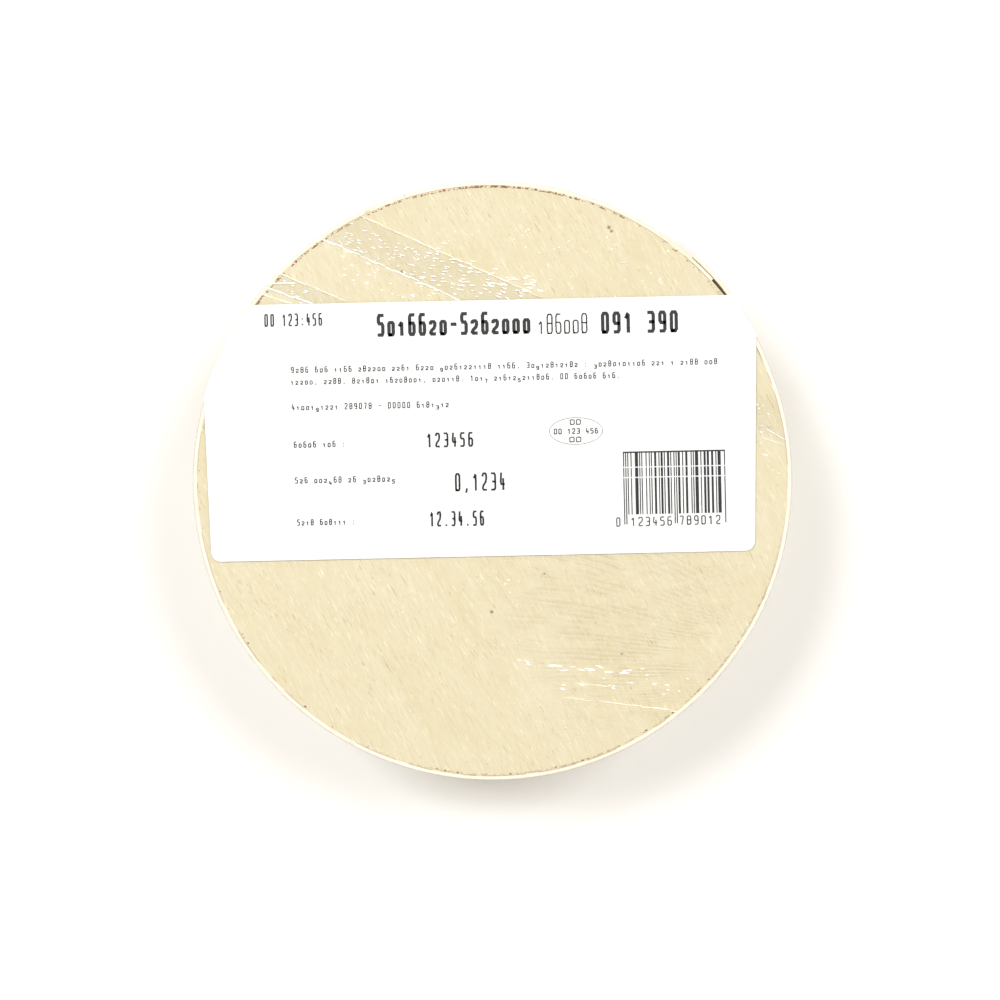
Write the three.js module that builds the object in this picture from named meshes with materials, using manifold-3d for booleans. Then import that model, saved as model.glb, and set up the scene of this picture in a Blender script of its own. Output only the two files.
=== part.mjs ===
// A boxed cheese wheel: a round box of peeled poplar lying flat with its lid on, the paper-wrapped
// wheel inside it, clear film round the whole box and a paper label stuck on top.
// Millimetres, +Z up. The origin is the centre of the underside.

import * as THREE from 'three';
import { mergeVertices } from 'three/addons/utils/BufferGeometryUtils.js';
import Module from 'manifold-3d';

// ---------------------------------------------------------------- driving dimensions

// Thin gaps: between concentric pieces, and round a staple in the wood that it goes through.
const GAP = 0.1;

// The hoops are strips of veneer. The outer end of a strip laps over its inner end, and past the
// lap the strip needs some length to settle back against the panel.
const STRIP = 0.9;
const LAP_LIFT = STRIP + GAP;
const OVERLAP_ANGLE = 5.85;
const SETTLE_ANGLE = 21;

// The panels are cut from thicker veneer, and stand a little inside the edges of their hoops.
const PANEL = 2;
const PANEL_INSET = 0.15;

// The clear film and the paper are far thinner than this in life.
const FILM = 0.15;
const FILM_BRIDGE_ANGLE = 9.5;
const FILM_OPENING_RADIUS = 3;
const SHEET = 0.25;

const LID = { outerRadius: 70.4, height: 18, lapAngle: 48.25, edgeStapleAngle: 80 };
const BASE = { outerRadius: 68.3, lapAngle: 250, edgeStapleAngle: 20 };

const CHEESE = { radius: 64.5, height: 45.5, edgeRadius: 9, crown: 0.6 };
const PAPER_FOLD = { openingRadius: 22, rise: 0.35 };

// The label is cut slightly wider along the top, and lies off centre and a little turned.
const LABEL = {
  topWidth: 131.4, bottomWidth: 128.2, height: 60.2, thickness: 0.15, cornerRadius: 2.3,
  centreX: -2.6, centreY: 12.3, turn: 1.2,
};

// Staples are bent from square wire. Lap staples are clinched inside the hoop, and edge staples
// are driven into the edge of a panel.
const WIRE = 0.5;
const CROWN_DEPTH = 0.05;
const LAP_STAPLE = { crown: 9, clinch: 3.4 };
const EDGE_STAPLE = { crown: 6, leg: 5, point: 0.8, depth: 0.1 };
const EDGE_STAPLES = 4;

const ROUND_SEGMENTS = 120;
const CORE_SEGMENTS = 48;
const EDGE_SEGMENTS = 4;

// ---------------------------------------------------------------- levels and radii that follow

const LID_INNER = LID.outerRadius - STRIP;
const BASE_INNER = BASE.outerRadius - STRIP;

const BASE_BOTTOM = FILM + GAP;
const BASE_PANEL_BOTTOM = BASE_BOTTOM + PANEL_INSET;
const PAPER_BOTTOM = BASE_PANEL_BOTTOM + PANEL + GAP;
const CHEESE_BOTTOM = PAPER_BOTTOM + SHEET + GAP;
const CHEESE_TOP = CHEESE_BOTTOM + CHEESE.height + CHEESE.crown;
const LID_PANEL_BOTTOM = CHEESE_TOP + GAP + SHEET + PAPER_FOLD.rise + GAP;
const BASE_TOP = LID_PANEL_BOTTOM - GAP;
const LID_TOP = LID_PANEL_BOTTOM + PANEL + PANEL_INSET;
const LID_BOTTOM = LID_TOP - LID.height;
const FILM_TOP = LID_TOP + GAP + FILM;

const LID_FILM_OUTER = LID.outerRadius + GAP + FILM;
const LABEL_INNER = LID_FILM_OUTER + GAP / 2;
const LABEL_BOTTOM = FILM_TOP + GAP / 2;

const UP = new THREE.Vector3(0, 0, 1);
const degrees = THREE.MathUtils.degToRad;

const COLOURS = {
  panel: { color: '#ecdfb8', roughness: 0.75 },
  hoop: { color: '#f4e8cb', roughness: 0.7 },
  film: { color: '#f2f4f2', roughness: 0.08, transparent: true, opacity: 0.25 },
  label: { color: '#fbfbf9', roughness: 0.6 },
  wire: { color: '#b9bcc0', roughness: 0.35, metalness: 1 },
  paper: { color: '#f3f1ea', roughness: 0.65 },
  rind: { color: '#efe8d6', roughness: 0.9 },
};

const wasm = await Module();
wasm.setup();

// ---------------------------------------------------------------- geometry helpers

/** A named mesh of one piece. */
function piece(name, geometry, finish) {
  const mesh = new THREE.Mesh(geometry, new THREE.MeshStandardMaterial(finish));
  mesh.name = name;
  return mesh;
}

/** A three.js geometry as a solid that can be cut and joined. */
function toSolid(geometry) {
  const bare = geometry.clone();
  bare.deleteAttribute('normal');
  bare.deleteAttribute('uv');
  const merged = mergeVertices(bare, 1e-4);
  return new wasm.Manifold(new wasm.Mesh({
    numProp: 3,
    vertProperties: new Float32Array(merged.attributes.position.array),
    triVerts: new Uint32Array(merged.index.array),
  }));
}

/** A cut or joined solid as a three.js geometry. */
function toGeometry(solid) {
  const { vertProperties, triVerts } = solid.getMesh();
  const geometry = new THREE.BufferGeometry();
  geometry.setAttribute('position', new THREE.BufferAttribute(new Float32Array(vertProperties), 3));
  geometry.setIndex(new THREE.BufferAttribute(new Uint32Array(triVerts), 1));
  return geometry;
}

/** A body turned about +Z from [radius, height] points, listed bottom to top along its outside. */
function turned(profile, segments) {
  const points = profile.map(([radius, height]) => new THREE.Vector2(radius, height));
  return new THREE.LatheGeometry(points, segments).rotateX(Math.PI / 2);
}

/** A round plate between two levels. */
function plate(radius, bottom, top, segments = ROUND_SEGMENTS) {
  return turned([[0, bottom], [radius, bottom], [radius, top], [0, top]], segments);
}

/** A flat outline raised between two levels. */
function raised(points, bottom, top) {
  const outline = new THREE.Shape(points);
  const geometry = new THREE.ExtrudeGeometry(outline, { depth: top - bottom, bevelEnabled: false });
  return geometry.translate(0, 0, bottom);
}

/** A point on a circle about the axis, at an angle in degrees. */
function polar(radius, angle) {
  return new THREE.Vector2(radius * Math.cos(degrees(angle)), radius * Math.sin(degrees(angle)));
}

/** A ramp that starts at 1 and falls smoothly to 0 as t goes from 0 to 1. */
function easeOut(t) {
  return 0.5 * (1 + Math.cos(Math.PI * THREE.MathUtils.clamp(t, 0, 1)));
}

// ---------------------------------------------------------------- lapped hoops

/** How far a strip stands off its plain radius, at an angle past its outer end. */
function stripLift(past) {
  return LAP_LIFT * easeOut((past - OVERLAP_ANGLE) / SETTLE_ANGLE);
}

/** How far the film, or anything on it, stands off the plain radius because of the lap below. */
function filmLift(angle, lapAngle) {
  const past = THREE.MathUtils.euclideanModulo(lapAngle - angle, 360);
  return past > 180 ? LAP_LIFT * easeOut((360 - past) / FILM_BRIDGE_ANGLE) : stripLift(past);
}

/** The plan of a strip bent into a hoop, from its outer end round to its inner end. */
function stripOutline(outerRadius, lapAngle) {
  const steps = ROUND_SEGMENTS + 2;
  const turn = 360 + OVERLAP_ANGLE;
  const outside = [];
  const inside = [];
  for (let step = 0; step <= steps; step += 1) {
    const past = (turn * step) / steps;
    const radius = outerRadius + stripLift(past);
    outside.push(polar(radius, lapAngle - past));
    inside.unshift(polar(radius - STRIP, lapAngle - past));
  }
  return [...outside, ...inside];
}

/** A hoop with the holes that its staples go through. */
function hoop(outerRadius, lapAngle, bottom, top, stapleHoles) {
  const strip = toSolid(raised(stripOutline(outerRadius, lapAngle), bottom, top));
  return toGeometry(stapleHoles.reduce((solid, hole) => solid.subtract(toSolid(hole)), strip));
}

/** A panel with the holes that the staples are driven into. */
function panel(radius, bottom, stapleHoles) {
  const disc = toSolid(plate(radius, bottom, bottom + PANEL));
  return toGeometry(stapleHoles.reduce((solid, hole) => solid.subtract(toSolid(hole)), disc));
}

// ---------------------------------------------------------------- staples

/** Stands a staple's outline, drawn across and inwards, at a place on a hoop. */
function placeStaple(points, wire, across, { angle, radius, level }) {
  const outline = new THREE.Shape(points);
  const geometry = new THREE.ExtrudeGeometry(outline, { depth: wire, bevelEnabled: false });
  geometry.translate(0, 0, -wire / 2);
  const outwards = new THREE.Vector3(Math.cos(degrees(angle)), Math.sin(degrees(angle)), 0);
  const normal = new THREE.Vector3().crossVectors(across, outwards);
  const place = new THREE.Matrix4().makeBasis(across, outwards, normal);
  place.setPosition(outwards.clone().multiplyScalar(radius).addScaledVector(UP, level));
  return geometry.applyMatrix4(place);
}

/** The direction along the rim at an angle. */
function alongRim(angle) {
  return new THREE.Vector3(-Math.sin(degrees(angle)), Math.cos(degrees(angle)), 0);
}

/** The U of a clinched staple: its crown outside, its legs inwards and their ends bent together. */
function clinchedOutline({ crown, clinch }, leg) {
  const half = crown / 2;
  const right = [
    [half, 0], [half, -leg], [half - clinch, -leg], [half - clinch, WIRE - leg],
    [half - WIRE, WIRE - leg], [half - WIRE, -WIRE],
  ];
  const left = right.map(([across, inwards]) => [-across, inwards]).reverse();
  return [...right, ...left].map(([across, inwards]) => new THREE.Vector2(across, inwards));
}

/** The U of a driven staple, its legs straight and pointed. */
function pointedOutline({ crown, leg, point }) {
  const half = crown / 2;
  const right = [[half, 0], [half, point - leg], [half - WIRE, -leg], [half - WIRE, -WIRE]];
  const left = right.map(([across, inwards]) => [-across, inwards]).reverse();
  return [...right, ...left].map(([across, inwards]) => new THREE.Vector2(across, inwards));
}

/** The U of the space that a staple's crown and legs take in the wood, open to the outside. */
function holeOutline(crown, leg) {
  const half = crown / 2 + GAP;
  const wall = WIRE + 2 * GAP;
  const right = [[half, 1], [half, -leg], [half - wall, -leg], [half - wall, -WIRE - GAP]];
  const left = right.map(([across, inwards]) => [-across, inwards]).reverse();
  return [...right, ...left].map(([across, inwards]) => new THREE.Vector2(across, inwards));
}

/** A staple through the middle of a lap, with its crown upright, and the hole for it. */
function lapStaple(outerRadius, lapAngle, level) {
  const angle = lapAngle - OVERLAP_ANGLE / 2;
  const at = { angle, radius: outerRadius + LAP_LIFT - CROWN_DEPTH, level };
  const leg = LAP_LIFT + STRIP - CROWN_DEPTH + GAP + WIRE;
  const holeWire = WIRE + 2 * GAP;
  return {
    staple: placeStaple(clinchedOutline(LAP_STAPLE, leg), WIRE, UP, at),
    hole: placeStaple(holeOutline(LAP_STAPLE.crown, leg), holeWire, UP, at),
  };
}

/** The staples through a hoop into its panel's edge, with their crowns along the rim. */
function edgeStaples(outerRadius, firstAngle, level) {
  return Array.from({ length: EDGE_STAPLES }, (_, index) => {
    const angle = firstAngle + (360 * index) / EDGE_STAPLES;
    const at = { angle, radius: outerRadius - EDGE_STAPLE.depth, level };
    const hole = holeOutline(EDGE_STAPLE.crown, EDGE_STAPLE.leg + GAP);
    return {
      staple: placeStaple(pointedOutline(EDGE_STAPLE), WIRE, alongRim(angle), at),
      hole: placeStaple(hole, WIRE + 2 * GAP, alongRim(angle), at),
    };
  });
}

// ---------------------------------------------------------------- cheese and its paper

/** Profile points of a round-edged wheel, from the axis below to the axis above. */
function wheelProfile(radius, bottom, top, edgeRadius, crown) {
  const lower = [];
  const upper = [];
  for (let step = 0; step <= EDGE_SEGMENTS; step += 1) {
    const turn = (Math.PI / 2) * (step / EDGE_SEGMENTS);
    const out = radius - edgeRadius * (1 - Math.sin(turn));
    const rise = edgeRadius * (1 - Math.cos(turn));
    lower.push([out, bottom + rise]);
    upper.unshift([out, top - crown - rise]);
  }
  return [[0, bottom], ...lower, ...upper, [0, top]];
}

function cheeseWheel() {
  const { radius, edgeRadius, crown } = CHEESE;
  return turned(wheelProfile(radius, CHEESE_BOTTOM, CHEESE_TOP, edgeRadius, crown), CORE_SEGMENTS);
}

/** The paper as a cup round the wheel, folded in over its top and open in the middle. */
function cheesePaper() {
  const inner = GAP;
  const outer = GAP + SHEET;
  const { openingRadius, rise } = PAPER_FOLD;
  const shell = (offset) => wheelProfile(
    CHEESE.radius + offset, CHEESE_BOTTOM - offset, CHEESE_TOP + offset,
    CHEESE.edgeRadius + offset, CHEESE.crown,
  );
  const outside = toSolid(turned(shell(outer), CORE_SEGMENTS));
  const inside = toSolid(turned(shell(inner), CORE_SEGMENTS));
  const opening = toSolid(plate(openingRadius, CHEESE_TOP - 1, CHEESE_TOP + rise + 1, CORE_SEGMENTS));
  return toGeometry(outside.subtract(inside).subtract(opening));
}

// ---------------------------------------------------------------- film and label

/** Moves the vertices near the rim outwards where the film passes over the hoops' laps. */
function overLaps(geometry) {
  const position = geometry.attributes.position;
  for (let index = 0; index < position.count; index += 1) {
    const x = position.getX(index);
    const y = position.getY(index);
    const radius = Math.hypot(x, y);
    if (radius > BASE_INNER) {
      const angle = THREE.MathUtils.radToDeg(Math.atan2(y, x));
      const lap = position.getZ(index) < LID_BOTTOM - 1 ? BASE : LID;
      const scale = 1 + filmLift(angle, lap.lapAngle) / radius;
      position.setXY(index, x * scale, y * scale);
    }
  }
  return geometry;
}

/** The film: over the lid, straight in from the lid's lower edge to the base, and underneath. */
function filmWrap() {
  const lid = LID.outerRadius + GAP;
  const base = BASE.outerRadius + GAP;
  const skirt = LID_BOTTOM - GAP;
  return overLaps(turned([
    [FILM_OPENING_RADIUS, FILM], [FILM_OPENING_RADIUS, 0], [base + FILM, 0],
    [lid + FILM, skirt], [lid + FILM, FILM_TOP], [0, FILM_TOP],
    [0, FILM_TOP - FILM], [lid, FILM_TOP - FILM], [lid, skirt], [base, FILM],
    [FILM_OPENING_RADIUS, FILM],
  ], ROUND_SEGMENTS));
}

/** The label's outline as it was cut, before its upper corners are folded over the rim. */
function labelOutline() {
  const { topWidth, bottomWidth, height, cornerRadius, centreX, centreY, turn } = LABEL;
  const bottom = -height / 2;
  const outline = new THREE.Shape();
  outline.moveTo(-topWidth / 2, height / 2);
  outline.lineTo(-bottomWidth / 2, bottom + cornerRadius);
  outline.quadraticCurveTo(-bottomWidth / 2, bottom, -bottomWidth / 2 + cornerRadius, bottom);
  outline.lineTo(bottomWidth / 2 - cornerRadius, bottom);
  outline.quadraticCurveTo(bottomWidth / 2, bottom, bottomWidth / 2, bottom + cornerRadius);
  outline.lineTo(topWidth / 2, height / 2);
  const origin = new THREE.Vector2();
  const centre = new THREE.Vector2(centreX, centreY);
  return outline.getPoints(4).map((point) => point.rotateAround(origin, degrees(turn)).add(centre));
}

/** How far from the axis the label's flat outline reaches at an angle in degrees. */
function labelReach(outline, angle) {
  const ray = polar(1, angle);
  let reach = 0;
  outline.forEach((start, index) => {
    const end = outline[(index + 1) % outline.length];
    const edge = end.clone().sub(start);
    const across = ray.cross(edge);
    const along = start.cross(edge) / across;
    const place = start.cross(ray) / across;
    if (across !== 0 && place >= 0 && place <= 1) reach = Math.max(reach, along);
  });
  return reach;
}

/** The space that one folded corner hangs in, seen along the radius at the corner's angle. */
function foldSpace(outline, corner) {
  const middle = THREE.MathUtils.radToDeg(Math.atan2(corner.y, corner.x));
  const edge = [];
  for (let angle = middle + 20; angle >= middle - 20; angle -= 0.5) {
    const hang = labelReach(outline, angle) - LABEL_INNER - filmLift(angle, LID.lapAngle);
    if (hang > 0) {
      edge.push(new THREE.Vector2(LABEL_INNER * Math.sin(degrees(angle - middle)), -hang));
    }
  }
  const top = LABEL_INNER / 4;
  const points = [new THREE.Vector2(edge[0].x, top), ...edge, new THREE.Vector2(edge.at(-1).x, top)];
  const shape = new THREE.Shape(points);
  const space = new THREE.ExtrudeGeometry(shape, { depth: LABEL_INNER, bevelEnabled: false });
  const outwards = new THREE.Vector3(Math.cos(degrees(middle)), Math.sin(degrees(middle)), 0);
  const place = new THREE.Matrix4().makeBasis(alongRim(middle), UP, outwards);
  place.setPosition(outwards.multiplyScalar(LABEL_INNER / 2).setZ(LABEL_BOTTOM));
  return toSolid(space.applyMatrix4(place));
}

/** The label: flat on the film, with its upper corners folded down over the rim. */
function label() {
  const outline = labelOutline();
  const top = LABEL_BOTTOM + LABEL.thickness;
  const outer = LABEL_INNER + LABEL.thickness;
  const rim = toSolid(overLaps(plate(outer, LABEL_BOTTOM, top)));
  const flat = toSolid(raised(outline, LABEL_BOTTOM - 1, top + 1)).intersect(rim);
  const skirt = toSolid(overLaps(turned([
    [LABEL_INNER, top], [LABEL_INNER, LID_BOTTOM], [outer, LID_BOTTOM], [outer, top], [LABEL_INNER, top],
  ], ROUND_SEGMENTS)));
  const upperCorners = [outline[0], outline.at(-1)];
  const folds = upperCorners.map((corner) => skirt.intersect(foldSpace(outline, corner)));
  return toGeometry(folds.reduce((solid, fold) => solid.add(fold), flat));
}

// ---------------------------------------------------------------- assembly

const lidLap = lapStaple(LID.outerRadius, LID.lapAngle, LID_BOTTOM + LID.height / 2 - 1);
const baseLaps = [0.28, 0.75].map(
  (share) => lapStaple(BASE.outerRadius, BASE.lapAngle, BASE_BOTTOM + share * (LID_BOTTOM - BASE_BOTTOM)),
);
const lidEdges = edgeStaples(LID.outerRadius, LID.edgeStapleAngle, LID_PANEL_BOTTOM + PANEL / 2);
const baseEdges = edgeStaples(BASE.outerRadius, BASE.edgeStapleAngle, BASE_PANEL_BOTTOM + PANEL / 2);
const holes = (staples) => staples.map(({ hole }) => hole);

const group = new THREE.Group();

group.add(
  piece('base_disc', panel(BASE_INNER - GAP, BASE_PANEL_BOTTOM, holes(baseEdges)), COLOURS.panel),
  piece('base_hoop', hoop(
    BASE.outerRadius, BASE.lapAngle, BASE_BOTTOM, BASE_TOP, holes([...baseLaps, ...baseEdges]),
  ), COLOURS.hoop),
  piece('cheese_paper', cheesePaper(), COLOURS.paper),
  piece('cheese_wheel', cheeseWheel(), COLOURS.rind),
  piece('lid_disc', panel(LID_INNER - GAP, LID_PANEL_BOTTOM, holes(lidEdges)), COLOURS.panel),
  piece('lid_hoop', hoop(
    LID.outerRadius, LID.lapAngle, LID_BOTTOM, LID_TOP, holes([lidLap, ...lidEdges]),
  ), COLOURS.hoop),
  piece('film_wrap', filmWrap(), COLOURS.film),
  piece('label', label(), COLOURS.label),
  piece('lid_lap_staple', lidLap.staple, COLOURS.wire),
);
baseLaps.forEach(({ staple }, index) => {
  group.add(piece(`base_lap_staple_${index + 1}`, staple, COLOURS.wire));
});
lidEdges.forEach(({ staple }, index) => {
  group.add(piece(`lid_edge_staple_${index + 1}`, staple, COLOURS.wire));
});
baseEdges.forEach(({ staple }, index) => {
  group.add(piece(`base_edge_staple_${index + 1}`, staple, COLOURS.wire));
});

export default group;
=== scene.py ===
"""The looks of a boxed cheese wheel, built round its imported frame.

A round box of peeled poplar lies on its base with its lid on. Clear film goes right round it, a paper
label is stuck on top, and the wheel lies inside in its own paper. Lengths in the dataclasses are in
millimetres and angles in degrees, and meshes are in metres in the frame's own axes.
"""

import logging
import math
import random
from dataclasses import dataclass, field
from enum import Enum
from itertools import pairwise
from typing import Callable, Iterable, Sequence

import bmesh
import bpy
from mathutils import Matrix, Vector, noise


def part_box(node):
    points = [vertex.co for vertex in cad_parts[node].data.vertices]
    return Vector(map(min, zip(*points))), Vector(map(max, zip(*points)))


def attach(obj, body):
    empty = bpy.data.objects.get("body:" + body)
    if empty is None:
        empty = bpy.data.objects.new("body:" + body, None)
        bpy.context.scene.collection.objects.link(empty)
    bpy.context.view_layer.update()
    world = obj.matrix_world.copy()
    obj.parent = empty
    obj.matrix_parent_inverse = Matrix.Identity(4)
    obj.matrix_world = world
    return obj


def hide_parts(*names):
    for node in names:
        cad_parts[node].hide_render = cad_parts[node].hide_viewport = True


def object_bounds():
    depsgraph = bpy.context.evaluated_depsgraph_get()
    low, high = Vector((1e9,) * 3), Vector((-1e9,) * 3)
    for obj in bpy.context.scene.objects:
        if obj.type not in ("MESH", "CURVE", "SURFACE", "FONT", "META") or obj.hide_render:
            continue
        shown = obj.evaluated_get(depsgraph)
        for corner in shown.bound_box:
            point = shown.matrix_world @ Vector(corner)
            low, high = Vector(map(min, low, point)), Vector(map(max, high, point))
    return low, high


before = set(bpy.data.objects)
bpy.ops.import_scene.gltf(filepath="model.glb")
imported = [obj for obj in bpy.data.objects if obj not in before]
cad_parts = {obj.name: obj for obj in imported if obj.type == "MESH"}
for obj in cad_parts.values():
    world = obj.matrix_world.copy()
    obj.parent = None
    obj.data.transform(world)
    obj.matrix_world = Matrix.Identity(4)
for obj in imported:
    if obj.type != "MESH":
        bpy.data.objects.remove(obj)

CAD_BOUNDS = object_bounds()
MM = 0.001
TINY = 1e-3
BODY = "root"
Colour = tuple[float, float, float, float]
Place = tuple[float, float]

log = logging.getLogger("cheese_box")


# ------------------------------------------------------------------------------------------ sizes


def node_box(node: str) -> tuple[Vector, Vector]:
    """Gives a CAD node's lowest and highest corners.

    Args:
        node: the node's name.

    Returns:
        The two corners, in millimetres.
    """
    low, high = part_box(node)
    return low / MM, high / MM


@dataclass(frozen=True)
class Lap:
    """The place where a hoop's outer end laps over its inner end."""

    angle: float
    overlap: float = 5.85
    settle: float = 21.0
    bridge: float = 9.5
    lift: float = 1.0

    def strip_lift(self, past: float) -> float:
        """Says how far the strip stands off its plain radius.

        Args:
            past: the angle past the strip's outer end.

        Returns:
            The lift in millimetres.
        """
        return self.lift * ease_out((past - self.overlap) / self.settle)

    def film_lift(self, angle: float) -> float:
        """Says how far a skin stretched over the lap stands off the plain radius.

        Args:
            angle: the angle round the box.

        Returns:
            The lift in millimetres.
        """
        past = (self.angle - angle) % 360
        if past > 180:
            return self.lift * ease_out((360 - past) / self.bridge)
        return self.strip_lift(past)


def ease_out(share: float) -> float:
    """Falls smoothly from 1 to 0 as share goes from 0 to 1."""
    return 0.5 * (1 + math.cos(math.pi * min(max(share, 0.0), 1.0)))


def smooth_step(low: float, high: float, value: float) -> float:
    """Rises smoothly from 0 to 1 as value goes from low to high."""
    share = min(max((value - low) / (high - low), 0.0), 1.0)
    return share * share * (3 - 2 * share)


def plan(place: Place | Vector) -> Vector:
    """Gives a place or a point as seen from above, at height 0."""
    return Vector((place[0], place[1], 0))


def direction(angle: float) -> Vector:
    """Gives the unit direction at an angle in plan."""
    return Vector((math.cos(math.radians(angle)), math.sin(math.radians(angle)), 0))


def angle_of(point: Vector) -> float:
    """Gives a point's angle round the box, in degrees."""
    return math.degrees(math.atan2(point.y, point.x))


def round_noise(angle: float, waves: float, seed: float) -> float:
    """A smooth random value that closes on itself round the box.

    Args:
        angle: the angle round the box.
        waves: roughly how many bumps there are in a full turn.
        seed: picks one such pattern from another.

    Returns:
        A value from about -1 to 1.
    """
    reach = waves / math.tau
    turn = math.radians(angle)
    return noise.noise(Vector((reach * math.cos(turn), reach * math.sin(turn), seed)))


@dataclass(frozen=True)
class BoxSizes:
    """The sizes that the looks share, read from the frame."""

    lid_radius: float = node_box("lid_hoop")[1].x
    lid_bottom: float = node_box("lid_hoop")[0].z
    lid_top: float = node_box("lid_hoop")[1].z
    base_radius: float = node_box("base_hoop")[1].x
    base_bottom: float = node_box("base_hoop")[0].z
    film_radius: float = node_box("film_wrap")[1].x
    film_top: float = node_box("film_wrap")[1].z
    strip: float = 0.9
    lid_lap: Lap = Lap(48.25)
    base_lap: Lap = Lap(250.0)


SIZES = BoxSizes()


# --------------------------------------------------------------------------------------- shaders


class Signal:
    """A number in a material's nodes, which sums and products extend with Math nodes."""

    def __init__(self, network: "Network", socket: bpy.types.NodeSocket) -> None:
        """Wraps an output socket of the network."""
        self.network = network
        self.socket = socket

    def maths(self, operation: str, *others: "Signal | float", clamp: bool = False) -> "Signal":
        """Adds a Math node.

        Args:
            operation: the node's operation.
            others: the values after this one.
            clamp: whether the result is kept from 0 to 1.

        Returns:
            The node's result.
        """
        sockets = dict(enumerate((self, *others)))
        made = self.network.node(
            "ShaderNodeMath", {"operation": operation, "use_clamp": clamp}, sockets
        )
        return Signal(self.network, made.outputs[0])

    def __add__(self, other: "Signal | float") -> "Signal":
        """Adds."""
        return self.maths("ADD", other)

    __radd__ = __add__

    def __mul__(self, other: "Signal | float") -> "Signal":
        """Multiplies."""
        return self.maths("MULTIPLY", other)

    __rmul__ = __mul__

    def __sub__(self, other: "Signal | float") -> "Signal":
        """Takes away."""
        return self.maths("SUBTRACT", other)

    def __rsub__(self, other: float) -> "Signal":
        """Is taken away from a number."""
        return (self * -1.0) + other

    def clamped(self) -> "Signal":
        """Keeps the value from 0 to 1."""
        return self.maths("ADD", 0.0, clamp=True)

    def sine(self) -> "Signal":
        """Takes the sine."""
        return self.maths("SINE")

    def ramp(self, low: float, high: float) -> "Signal":
        """Rises smoothly from 0 to 1 as the value goes from low to high, or falls if low is higher."""
        made = self.network.node(
            "ShaderNodeMapRange",
            {"interpolation_type": "SMOOTHSTEP"},
            {"Value": self, "From Min": low, "From Max": high},
        )
        return Signal(self.network, made.outputs[0])


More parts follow.
